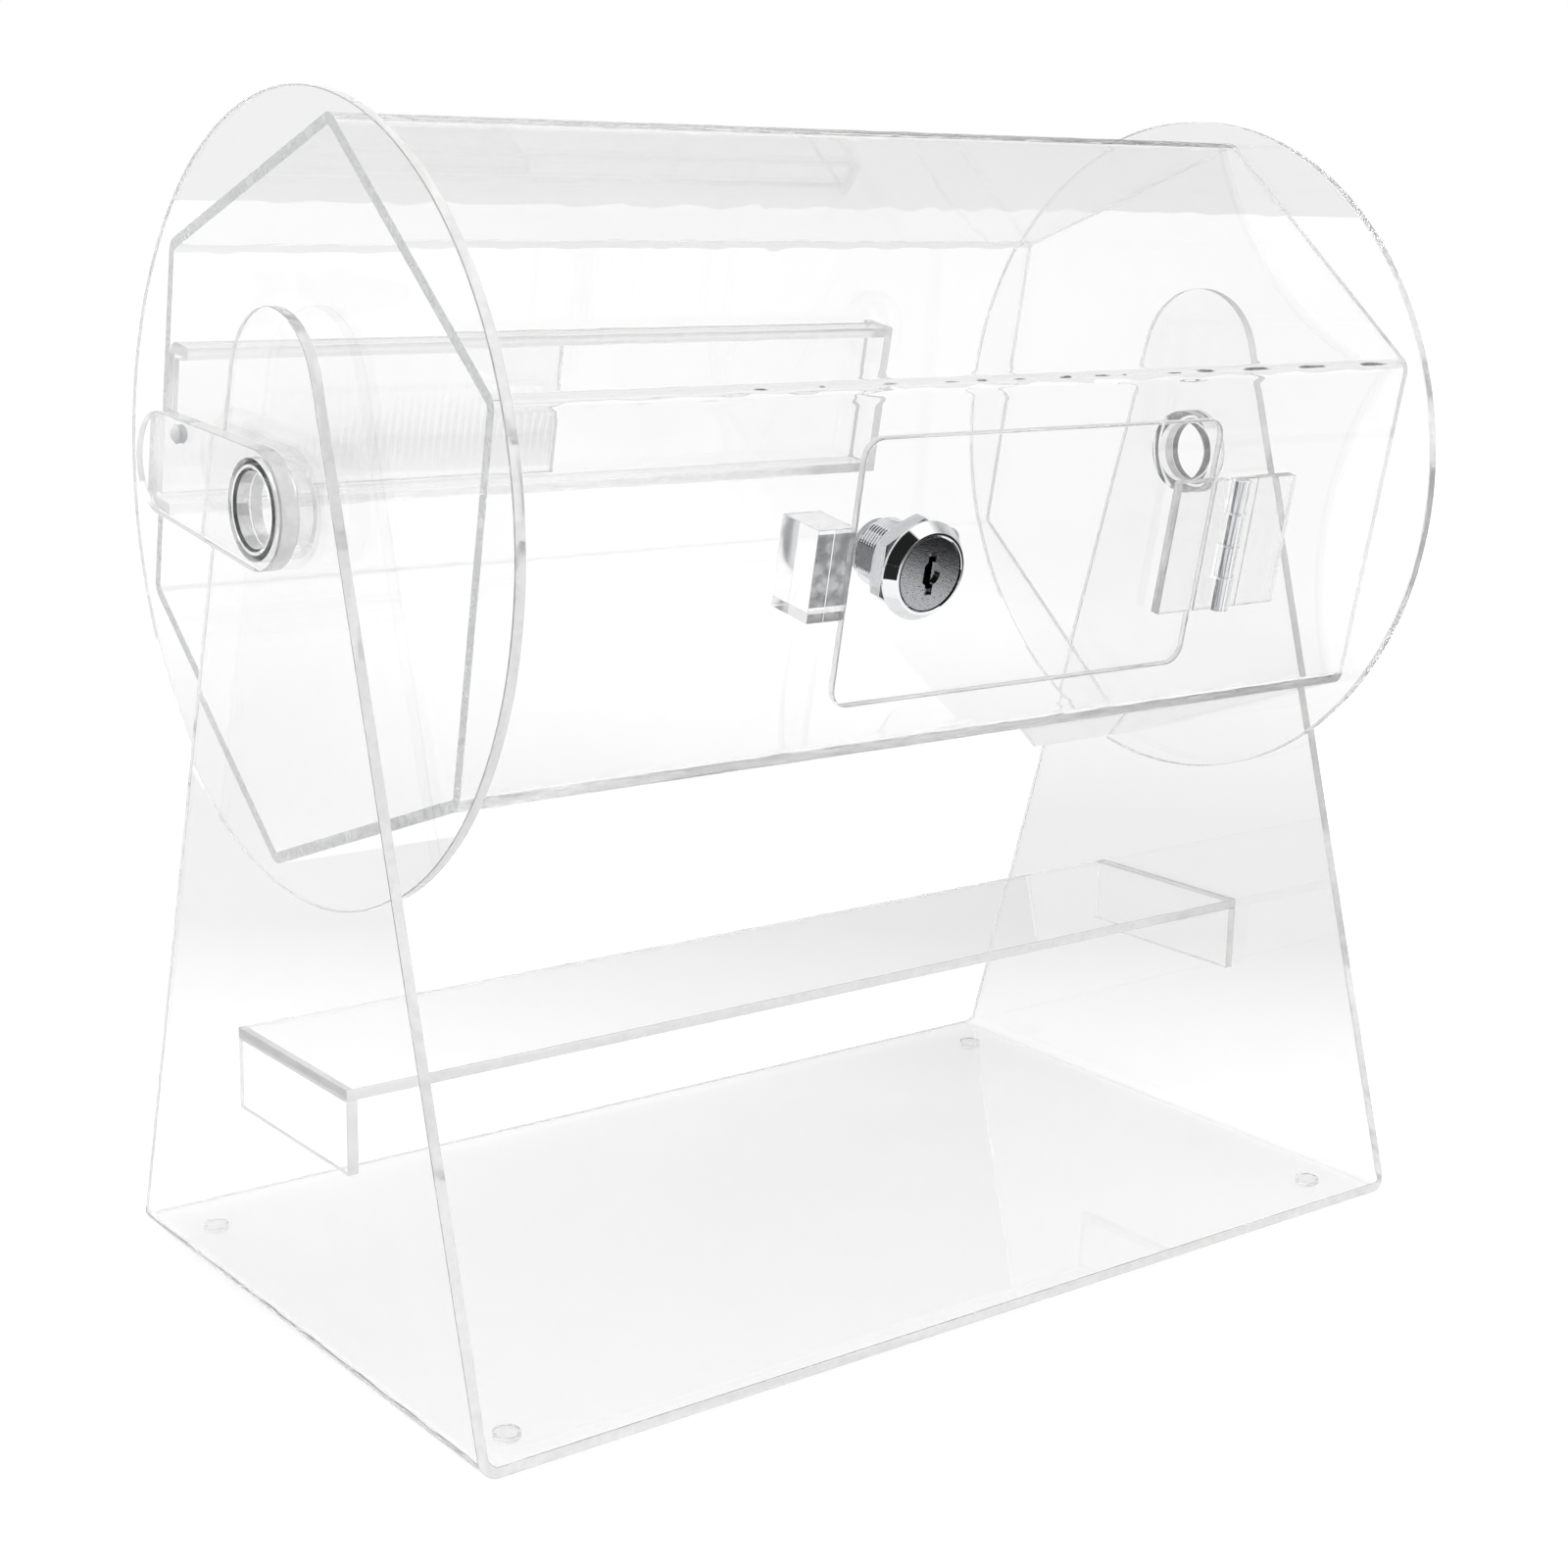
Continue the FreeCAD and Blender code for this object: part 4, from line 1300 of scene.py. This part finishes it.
@dataclass
class DoorPanel:
    """The door's panel, with the hole for the lock."""

    left: float = -45.5
    right: float = 78.0
    half_height: float = 34.5
    corner: float = 5.0
    face: float = -HEX_FACE
    thick: float = 3.0
    lock_x: float = -22.5
    hole_radius: float = 9.35

    def skin(self) -> Skin:
        """The panel: both faces run from the rounded outline to the lock's hole.

        Returns:
            Its skin, with the cut edges in the second finish.
        """
        half = self.half_height
        outline = rounded_rectangle(self.left, self.right, -half, half, self.corner)
        hole = hole_round(outline, (self.lock_x, 0.0), self.hole_radius)
        skin = Skin()
        faces = []
        for y in (self.face, self.face + self.thick):
            flat = [np.column_stack([p[:, 0], np.full(len(p), y), p[:, 1]]) for p in (outline, hole)]
            skin.between(flat[0], flat[1], close=True)
            faces.append(flat)
        for edge in (0, 1):
            skin.between(faces[0][edge], faces[1][edge], 1, close=True)
        return skin


@dataclass
class Lock:
    """Head, shank and nut of the cam lock, about the X axis with the door's outer face at 0."""

    door_face: float = -HEX_FACE
    lock_x: float = -22.5
    turns: int = 192
    bore: float = 6.3
    seat: float = 10.0
    seat_floor: float = -1.2
    rim: float = 10.9
    front: float = -3.6
    head: float = 13.0
    skirt: float = -0.7
    root: float = 8.45
    crest: float = 9.25
    pitch: float = 1.0
    fade: float = 0.8
    flat: float = 8.1
    length: float = 18.0
    groove: tuple[float, float] = (3.3, 6.7)
    groove_start: float = 3.0
    nut_apothem: float = 11.5
    nut: tuple[float, float] = (3.0, 7.5)
    cap_radius: float = 9.5
    cap_sink: float = 0.3
    crown: float = -3.55
    dome: float = 0.2
    dish: float = 3.15
    key_slot: tuple[float, float] = (1.25, 5.55)
    shell: float = 0.6

    def place(self, drum: Drum) -> Matrix:
        """From the lock's own axis to its place in the door."""
        door = Matrix.Translation((self.lock_x, self.door_face, 0))
        return drum.place() @ door @ Matrix.Rotation(math.pi / 2, 4, "Z")

    def angles(self) -> Points:
        """The angles of one ring of points."""
        return np.arange(self.turns) * 2 * np.pi / self.turns

    def ring(self, radius: Points, along: float) -> Points:
        """One ring: x = along, y and z = radius times the cosine and sine of each angle.

        Args:
            radius: One radius, or one for each angle.
            along: Place along the lock.

        Returns:
            Its points.
        """
        angle = self.angles()
        radius = radius + 0 * angle
        return np.stack([np.full(self.turns, along), radius * np.cos(angle), radius * np.sin(angle)], axis=-1)

    def thread(self, along: float) -> Points:
        """Radius of the threaded shank: root + a triangle wave that moves on by one pitch a turn.

        The thread fades out at each end of the shank and is cut off by the two flats.

        Args:
            along: Place along the shank.

        Returns:
            A radius for each angle.
        """
        angle = self.angles()
        phase = (along / self.pitch - angle / (2 * np.pi)) % 1.0
        tooth = np.clip(1.25 - 2.5 * np.abs(2 * phase - 1), 0, 1)
        fade = np.clip(min(along, self.length - along) / self.fade, 0, 1)
        radius = self.root + (self.crest - self.root) * tooth * fade
        return np.minimum(radius, self.flat / np.maximum(np.abs(np.cos(angle)), TINY))

    def rectangle(self, wide: float, tall: float) -> Points:
        """Radius of a rectangle's outline: the nearer of its two pairs of sides at each angle.

        Args:
            wide: Half its width.
            tall: Half its height.

        Returns:
            A radius for each angle.
        """
        across = np.maximum(np.abs(np.cos(self.angles())), TINY)
        up = np.maximum(np.abs(np.sin(self.angles())), TINY)
        return np.minimum(wide / across, tall / up)

    def grooved(self) -> Points:
        """Radius of the bore where the wafers' grooves are: the larger of circle and rectangle."""
        return np.minimum(np.maximum(self.bore, self.rectangle(*self.groove)), self.root - self.shell)

    def body(self) -> Skin:
        """The turned body: grooved bore, seat, rim, cone, skirt, threaded shank and end, closed.

        Faces of the thread that lie below a third of its height have the second finish, which darkens the
        roots with oil and painted shade.

        Returns:
            Its skin.
        """
        inside = [(self.grooved(), self.length), (self.grooved(), self.groove_start)]
        inside += [(self.bore, self.groove_start), (self.bore, self.seat_floor), (self.seat, self.seat_floor)]
        inside += [(self.seat, self.front + 0.15), (self.seat + 0.15, self.front)]
        over = arc((self.rim - 0.25, self.front + 0.3), 0.3, -90, -35, 5)
        under = arc((self.head - 0.35, self.skirt + 0.1), 0.35, -40, 0, 5)
        head = [(radius, along) for radius, along in np.concatenate([over, under])]
        head += [(self.head, -0.15), (self.head - 0.15, -0.02), (self.root, -0.02)]
        places = np.arange(0.0, self.length + 0.01, 0.1)
        rows = [self.ring(radius, along) for radius, along in [*inside, *head]]
        rows += [self.ring(self.thread(along), along) for along in places]
        grid = np.stack([*rows, rows[0]])
        reach = np.linalg.norm(grid[..., 1:], axis=-1)
        # The thread's roots get the dark finish: oil and painted shade.
        low = (reach[:-1] + reach[1:]) / 2 < self.root + 0.35 * (self.crest - self.root)
        low[: len(inside) + len(head)] = False
        skin = Skin()
        skin.patch(grid, low.astype(np.int64).reshape(-1), close=True)
        return skin

    def cap(self) -> Skin:
        """The plug's thin domed cap: along = crown + dome x (radius / outer radius) squared.

        Its opening is the larger of the dish and the key slot, and the rows run from there to the rim.

        Returns:
            Its skin.
        """
        angle = self.angles()
        opening = np.maximum(self.dish, self.rectangle(*self.key_slot))
        share = np.linspace(0, 1, 14)[:, None]
        radius = opening * (1 - share) + self.cap_radius * share
        along = self.crown + self.dome * (radius / self.cap_radius) ** 2
        back = np.full_like(angle, self.front + self.cap_sink + WET)
        radius = np.concatenate([radius, [self.cap_radius + 0 * angle, opening, opening]])
        along = np.concatenate([along, [back, back, along[0]]])
        skin = Skin()
        skin.patch(np.stack([along, radius * np.cos(angle), radius * np.sin(angle)], axis=-1), close=True)
        return skin

    def hexagon(self) -> Points:
        """Radius of the nut's outline: apothem over the cosine of the angle from the nearest flat."""
        sixth = np.pi / 3
        return self.nut_apothem / np.cos((self.angles() + sixth / 2) % sixth - sixth / 2)

    def nut_skin(self) -> Skin:
        """The nut: hexagon cut by a cone at its free face, with a bevelled bore.

        Each row's radius is the smaller of the hexagon's and the cone's, which opens at 30 degrees.

        Returns:
            Its skin.
        """
        near, far = self.nut
        outline = self.hexagon()
        slope = math.tan(math.radians(30))
        fall = (outline.max() - self.nut_apothem) * slope
        bore = self.root + 0.05
        rows = [(bore, far - 0.5), (bore, near), (outline - 0.15, near), (outline, near + 0.15)]
        for along in np.linspace(far - fall, far - 0.12, 12):
            cone = self.nut_apothem + (far - along) / slope
            rows.append((np.minimum(outline, cone), along))
        rows += [(self.nut_apothem - 0.1, far), (self.crest + 0.3, far), (bore, far - 0.5)]
        skin = Skin()
        skin.patch(np.stack([self.ring(*row) for row in rows]), close=True)
        return skin


@dataclass
class CementLine:
    """The line of cement between the barrel's end and a disc."""

    barrel: Barrel
    place_x: float = 149.985
    thick: float = 0.01
    inset: float = 0.1

    def skin(self, side: Side) -> Skin:
        """A thin flat ring nearly as wide as the sheet, following the barrel's six bends.

        Args:
            side: The end of the drum.

        Returns:
            Its skin.
        """
        parts = self.barrel.bends()
        outer, inner = (
            np.concatenate([part.points - depth * part.normals for part in parts])
            for depth in (self.inset, self.barrel.thick - self.inset)
        )
        near, far = (self.place_x - self.thick) * side.value, self.place_x * side.value
        rings = [(outer, near), (outer, far), (inner, far), (inner, near), (outer, near)]
        skin = Skin()
        skin.patch(np.stack([np.column_stack([np.full(len(p), x), p]) for p, x in rings]), close=True)
        return skin


@dataclass
class Studio:
    """Floor, backdrop, lights and camera. Directions point away from the drum."""

    floor_colour: str = "#BCBCBC"
    flag_colour: str = "#272727"
    lift: float = 0.58
    painted_shade_least_lift: float = 0.5
    painted_shade_far_lift: float = 0.9
    painted_shade_falls: tuple[float, float] = (0.1, 0.3)
    painted_shade_returns: tuple[float, float] = (0.5, 1.1)
    horizon: float = 30000.0
    ceiling: float = 0.85
    ceiling_starts: tuple[float, float] = (0.3, 0.8)
    sun: float = 0.6
    sun_spread: float = 50.0
    camera_side: tuple[float, float, float] = (-0.57, -0.71, 0.42)
    far_side: tuple[float, float, float] = (0.93, 0.15, 0.25)
    backdrop: tuple[float, float, float] = (0.59, 0.77, -0.1)
    lamp_side: tuple[float, float, float] = (0.35, -0.35, 1.0)
    camera_place: tuple[float, float, float] = (-0.43955, -0.57165, 0.29864)
    camera_turn: tuple[float, float, float] = (-37.488, -13.014, 1.054)
    camera_lens: float = 59.207
    camera_shift: tuple[float, float] = (0.0016, -0.0008)
    bounces: int = 96

    def surface(self, name: str) -> tuple[bpy.types.Material, bpy.types.NodeTree]:
        """An empty node material for a piece of the studio.

        Args:
            name: Its name.

        Returns:
            The material and its tree.
        """
        made = bpy.data.materials.new(name)
        made.use_nodes = True
        made.node_tree.nodes.clear()
        return made, made.node_tree

    def lay(self, name: str, corners: Points, made: bpy.types.Material) -> bpy.types.Object:
        """Lays a flat grid of points down as a piece of the studio.

        Args:
            name: Its name.
            corners: The grid of points.
            made: Its material.

        Returns:
            The piece.
        """
        skin = Skin()
        skin.patch(corners)
        thing = bpy.data.objects.new(name, skin.mesh(name, Matrix.Identity(4)))
        bpy.context.scene.collection.objects.link(thing)
        thing.data.materials.append(made)
        return thing

    def floor(self) -> None:
        """A pale floor to the horizon that keeps the drum's shadow.

        Its lift to white is only for rays of sight, in the open, in mirrors and through the sheets, so
        it lights nothing. Through the sheets the lift falls off close behind the drum, a band of painted
        shade on the floor which gives the sheets their tint, and comes back further away.
        """
        made, tree = self.surface("studio_floor")
        path = add(tree, "ShaderNodeLightPath")
        through = path.outputs["Is Transmission Ray"]
        open_sight = {0: path.outputs["Is Camera Ray"], 1: path.outputs["Is Glossy Ray"]}
        seen = add(tree, "ShaderNodeMath", open_sight, operation="MAXIMUM")
        seen = add(tree, "ShaderNodeMath", {0: seen.outputs[0], 1: through}, operation="MAXIMUM")
        place = add(tree, "ShaderNodeTexCoord").outputs["Object"]
        backward = {0: place, 1: tuple(Vector(self.backdrop).normalized())}
        behind = add(tree, "ShaderNodeVectorMath", backward, operation="DOT_PRODUCT").outputs["Value"]
        # Painted shade: a darker band of floor behind the drum, which only the sheets show.
        shares = []
        for (start, end), first, last in (
            (self.painted_shade_falls, 1.0, self.painted_shade_least_lift),
            (self.painted_shade_returns, self.painted_shade_least_lift, self.painted_shade_far_lift),
        ):
            run = {"Value": behind, "From Min": start, "From Max": end, "To Min": first, "To Max": last}
            shares.append(add(tree, "ShaderNodeMapRange", run).outputs[0])
        share = add(tree, "ShaderNodeMath", dict(enumerate(shares)), operation="MAXIMUM")
        share = add(tree, "ShaderNodeMix", {0: through, 2: 1.0, 3: share.outputs[0]})
        both = {0: seen.outputs[0], 1: share.outputs[0]}
        share = add(tree, "ShaderNodeMath", both, operation="MULTIPLY")
        lift = add(tree, "ShaderNodeMath", {0: share.outputs[0], 1: self.lift}, operation="MULTIPLY")
        matt = add(tree, "ShaderNodeBsdfDiffuse", {"Color": linear(self.floor_colour)})
        glow = add(tree, "ShaderNodeEmission", {"Strength": lift.outputs[0]})
        both = add(tree, "ShaderNodeAddShader", {0: matt.outputs[0], 1: glow.outputs[0]})
        add(tree, "ShaderNodeOutputMaterial", {"Surface": both.outputs[0]})
        x, y = np.meshgrid(*[np.linspace(-self.horizon, self.horizon, 3)] * 2)
        self.lay("floor", np.stack([x, y, 0 * x], axis=-1), made)

    def flag(self, name: str, toward: float, start: float, soft: float, half_width: float) -> None:
        """A black flag on the floor, out of sight, which only mirrors see; its near edge is soft.

        It widens with its distance from the drum, as the floor does in perspective.

        Args:
            name: Name of the flag.
            toward: Direction in degrees in which it leads away from the drum.
            start: Distance of its near edge.
            soft: Distance over which it thickens.
            half_width: Half its width at the near edge.
        """
        angle = math.radians(toward)
        outward = np.array([math.cos(angle), math.sin(angle), 0.0])
        aside = np.array([-outward[1], outward[0], 0.0])
        out, half = np.array([start, self.horizon]), half_width * np.array([1, 22])
        across = half[:, None] * np.array([-1.0, 1.0])
        corners = out[:, None, None] * outward + across[..., None] * aside
        made, tree = self.surface(name)
        cloth = add(tree, "ShaderNodeBsdfDiffuse", {"Color": linear(self.flag_colour)})
        bare = add(tree, "ShaderNodeBsdfTransparent")
        place = add(tree, "ShaderNodeTexCoord").outputs["Object"]
        way = {0: place, 1: tuple(outward)}
        out_there = add(tree, "ShaderNodeVectorMath", way, operation="DOT_PRODUCT").outputs["Value"]
        depth = {"Value": out_there, "From Min": start * MM, "From Max": (start + soft) * MM}
        cover = add(tree, "ShaderNodeMapRange", depth, interpolation_type="SMOOTHSTEP").outputs[0]
        path = add(tree, "ShaderNodeLightPath")
        mirror = {0: 1.0, 1: path.outputs["Is Transmission Ray"]}
        mirror = add(tree, "ShaderNodeMath", mirror, operation="SUBTRACT").outputs[0]
        cover = add(tree, "ShaderNodeMath", {0: cover, 1: mirror}, operation="MULTIPLY").outputs[0]
        mixed = add(tree, "ShaderNodeMixShader", {0: cover, 1: bare.outputs[0], 2: cloth.outputs[0]})
        add(tree, "ShaderNodeOutputMaterial", {"Surface": mixed.outputs[0]})
        thing = self.lay(name, corners + np.array([0.0, 0.0, 1.0]), made)
        thing.visible_camera = False
        thing.visible_diffuse = False
        thing.visible_transmission = False
        thing.visible_shadow = False

    def sky(self) -> None:
        """White all round, with soft cards that sheets and mirrors show.

        Through the sheets, the backdrop and the camera's own side are a little grey. In mirrors the
        ceiling is grey, the camera's side dark, the far side dim and the lamp's side bright.
        """
        world = bpy.data.worlds.new("studio")
        bpy.context.scene.world = world
        world.use_nodes = True
        tree = world.node_tree
        tree.nodes.clear()
        way = add(tree, "ShaderNodeTexCoord").outputs["Generated"]
        path = add(tree, "ShaderNodeLightPath")
        mirror = {0: 1.0, 1: path.outputs["Is Transmission Ray"]}
        mirror = add(tree, "ShaderNodeMath", mirror, operation="SUBTRACT").outputs[0]
        both = {0: path.outputs["Is Glossy Ray"], 1: mirror}
        reflected = add(tree, "ShaderNodeMath", both, operation="MULTIPLY").outputs[0]
        through = self.card(tree, way, self.backdrop, 50, 32, 0.88)
        for outer, inner, least in ((44, 26, 0.88), (12, 6, 0.7)):
            both = {0: through, 1: self.card(tree, way, self.camera_side, outer, inner, least)}
            through = add(tree, "ShaderNodeMath", both, operation="MULTIPLY").outputs[0]
        height = add(tree, "ShaderNodeSeparateXYZ", {0: way}).outputs["Z"]
        low, high = self.ceiling_starts
        above = {"Value": height, "From Min": low, "From Max": high, "To Min": 1.0, "To Max": self.ceiling}
        mirrored = add(tree, "ShaderNodeMapRange", above).outputs[0]
        for toward, outer, inner, least in (
            (self.camera_side, 42, 38, 0.02),
            (self.far_side, 50, 8, 0.25),
            (self.lamp_side, 42, 15, 1.5),
        ):
            both = {0: mirrored, 1: self.card(tree, way, toward, outer, inner, least)}
            mirrored = add(tree, "ShaderNodeMath", both, operation="MULTIPLY").outputs[0]
        studio = add(tree, "ShaderNodeMix", {0: reflected, 2: through, 3: mirrored}).outputs[0]
        seen = add(tree, "ShaderNodeMix", {0: path.outputs["Is Camera Ray"], 2: studio, 3: 1.0})
        white = {"Color": linear("#FFFFFF"), "Strength": seen.outputs[0]}
        glow = add(tree, "ShaderNodeBackground", white)
        add(tree, "ShaderNodeOutputWorld", {"Surface": glow.outputs[0]})

    def card(
        self,
        tree: bpy.types.NodeTree,
        way: bpy.types.NodeSocket,
        toward: tuple[float, float, float],
        outer: float,
        inner: float,
        least: float,
    ) -> bpy.types.NodeSocket:
        """A round card: the cosine of the angle from its middle, mapped from outer to inner.

        Args:
            tree: Where the nodes go.
            way: The direction that is looked up.
            toward: Direction of the card's middle.
            outer: Angle in degrees where it begins.
            inner: Angle in degrees where it is at its full effect.
            least: Brightness there.

        Returns:
            The factor for the light.
        """
        middle = {0: way, 1: tuple(Vector(toward).normalized())}
        cosine = add(tree, "ShaderNodeVectorMath", middle, operation="DOT_PRODUCT").outputs["Value"]
        begins, full = math.cos(math.radians(outer)), math.cos(math.radians(inner))
        inputs = {"Value": cosine, "From Min": begins, "From Max": full, "To Min": 1.0, "To Max": least}
        return add(tree, "ShaderNodeMapRange", inputs).outputs[0]

    def lamp(self) -> None:
        """One broad overhead lamp, which mirrors don't show."""
        data = bpy.data.lights.new("overhead", "SUN")
        data.energy = self.sun
        data.angle = math.radians(self.sun_spread)
        thing = bpy.data.objects.new("overhead", data)
        thing.rotation_euler = Vector(self.lamp_side).to_track_quat("Z", "Y").to_euler()
        thing.visible_glossy = False
        bpy.context.scene.collection.objects.link(thing)

    def camera(self) -> None:
        """The camera: looks down a little, from the crank's end."""
        yaw, pitch, roll = (math.radians(angle) for angle in self.camera_turn)
        data = bpy.data.cameras.new("camera")
        data.sensor_width = 36.0
        data.lens = self.camera_lens
        data.shift_x, data.shift_y = self.camera_shift
        thing = bpy.data.objects.new("camera", data)
        level = Matrix.Rotation(yaw, 4, "Z") @ Matrix.Rotation(math.pi / 2 + pitch, 4, "X")
        turn = level @ Matrix.Rotation(roll, 4, "Z")
        thing.matrix_world = Matrix.Translation(self.camera_place) @ turn
        bpy.context.scene.collection.objects.link(thing)
        bpy.context.scene.camera = thing

    def settings(self) -> None:
        """Plain view, and enough bounces for stacked clear sheets."""
        scene = bpy.context.scene
        scene.view_settings.view_transform = "Standard"
        scene.cycles.max_bounces = self.bounces
        scene.cycles.transmission_bounces = self.bounces
        scene.cycles.transparent_max_bounces = self.bounces
        scene.cycles.glossy_bounces = self.bounces

    def build(self) -> None:
        """Sets the studio up round the drum."""
        self.camera()
        self.floor()
        self.flag("flag_right", -35.0, 430.0, 130.0, 900.0)
        self.flag("flag_left", 205.0, 430.0, 40.0, 500.0)
        self.sky()
        self.lamp()
        self.settings()
        log.info("studio: floor, two flags, sky, lamp and camera")


@dataclass
class Stand:
    """The stand: its bent sheet, the brace and the bumpers. All of it stands still."""

    sheet: StandFrame = field(default_factory=StandFrame)
    brace: Brace = field(default_factory=Brace)
    feet: Feet = field(default_factory=Feet)
    middle: tuple[float, float, float] = (2.0, 0.0, 2.2)

    def build(self) -> None:
        """Builds and dresses its pieces."""
        place, cut = Matrix.Translation(self.middle), (SHEET, EDGE)
        for side in Side:
            name = side.name.lower()
            leg, node = self.brace.leg_skin(side), (f"brace_leg_{name}",)
            finish_piece(f"leg_{name}", leg, place, "stand", cut, node, 0.15)
        sheet, node = self.sheet.skin(), ("stand_frame",)
        finish_piece("stand_sheet", sheet, place, "stand", cut, node, 0.25)
        strip, node = self.brace.strip(), ("brace_strip",)
        finish_piece("strip", strip, place, "stand", cut, node, 0.15)
        for end, sign in (("front", -1), ("back", 1)):
            for side in Side:
                self.bumper(f"{end}_{side.name.lower()}", side.value, sign)

    def bumper(self, name: str, end: int, sign: int) -> None:
        """Builds and dresses a bumper under one corner.

        Args:
            name: The corner's name.
            end: -1 at the crank's end, 1 at the other.
            sign: -1 in front, 1 behind.
        """
        reach_x, reach_y = self.feet.reach
        at = Matrix.Translation((self.middle[0] + reach_x * end, reach_y * sign, 0.0))
        place = at @ Matrix.Rotation(-math.pi / 2, 4, "Y")
        dress, node = (BUMPER,), (f"foot_{name}",)
        finish_piece(f"bumper_{name}", self.feet.skin(), place, "stand", dress, node)


@dataclass
class TurningDrum:
    """Everything that turns on the axle but the door."""

    drum: Drum
    barrel: Barrel = field(default_factory=Barrel)
    discs: Discs = field(default_factory=Discs)
    tray: MixingTray = field(default_factory=MixingTray)
    axle: Axle = field(default_factory=Axle)
    keeper: Keeper = field(default_factory=Keeper)

    def clear(
        self,
        name: str,
        skin: Skin,
        node: tuple[str, ...],
        finishes: tuple[Finish, ...] = (SHEET, EDGE),
        bevel: float = 0.0,
    ) -> None:
        """Dresses a piece of clear sheet on the drum."""
        finish_piece(name, skin, self.drum.place(), "drum", finishes, node, bevel)

    def build(self) -> None:
        """Builds and dresses its pieces."""
        place, cement = self.drum.place(), CementLine(self.barrel)
        self.clear("barrel_sheet", self.barrel.skin(), ("barrel",))
        for side in Side:
            name = side.name.lower()
            self.clear(f"disc_{name}", self.discs.skin(side), (f"end_disc_{name}",))
            self.clear(f"cement_{name}", cement.skin(side), (), (CEMENT_AND_PAINTED_LIGHT,))
            self.clear(f"axle_{name}", self.axle.tube(side), (f"axle_tube_{name}",), (SHEET, TURNED_PAINTED_SHADE))
        self.clear("tray", self.tray.channel(), ("tray_channel",))
        self.clear("tray_stop", self.tray.end(), ("tray_end",), bevel=0.15)
        self.clear("tray_lining", self.tray.plate(), ("tray_plate",), bevel=0.15)
        self.clear("arm", self.axle.arm(), ("crank_arm",), bevel=0.25)
        self.clear("keeper", self.keeper.skin(), ("keeper_block",), (SHEET, SATIN), 0.15)
        finish_piece("dowel", self.axle.dowel(), place, "drum", (PIN,), ("arm_dowel",))
        finish_piece("keeper_rub", self.keeper.rub(), place, "drum", (RUBBED,))


@dataclass
class Door:
    """The door: its panel, both leaves of its hinge, and its lock."""

    drum: Drum
    panel: DoorPanel = field(default_factory=DoorPanel)
    hinge: Hinge = field(default_factory=Hinge)
    lock: Lock = field(default_factory=Lock)

    def build(self) -> None:
        """Builds and dresses its pieces; one leaf of the hinge stays with the drum."""
        place, cut, node = self.drum.place(), (SHEET, EDGE), ("door_panel",)
        finish_piece("door_sheet", self.panel.skin(), place, "door", cut, node, 0.2)
        place, moulded = self.hinge.place(self.drum), (HINGE, GATE)
        for side, body, leaf in (
            (Side.RIGHT, "drum", "hinge_leaf_fixed"),
            (Side.LEFT, "door", "hinge_leaf_door"),
        ):
            skin = self.hinge.leaf(side)
            finish_piece(f"leaf_{body}", skin, place, body, moulded, (leaf,), 0.2)
        lock, place = self.lock, self.lock.place(self.drum)
        for name, skin, body, slot, finishes, node in (
            ("lock_body", lock.body(), "door", "chrome_plate", (CHROME, OIL_AND_PAINTED_SHADE), ("lock_housing",)),
            ("nut", lock.nut_skin(), "door", "chrome_plate", (NUT,), ("lock_nut",)),
            ("cap", lock.cap(), "plug", "plug_metal", (PLUG,), ()),
        ):
            finish_piece(name, skin, place, body, finishes, node)


def dress_kept_nodes() -> None:
    """Gives the CAD nodes that are still shown their finishes; the wafers are brass."""
    kept = {"hinge_pin": STEEL, "lock_plug": PLUG, "lock_cam": PRESSED, "cam_screw": PRESSED}
    for name, thing in frame["nodes"].items():
        if thing.hide_render:
            continue
        thing.data.materials.clear()
        thing.data.materials.append(kept.get(name, BRASS).material())
        log.info("%s: kept from the frame", name)


def main() -> None:
    """Builds every piece in order."""
    logging.basicConfig(level=logging.INFO, format="%(message)s")
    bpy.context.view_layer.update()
    drum = Drum.from_joints(frame["joints"])
    for group in (Studio(), Stand(), TurningDrum(drum), Door(drum)):
        group.build()
    dress_kept_nodes()


if __name__ == "__main__":
    main()
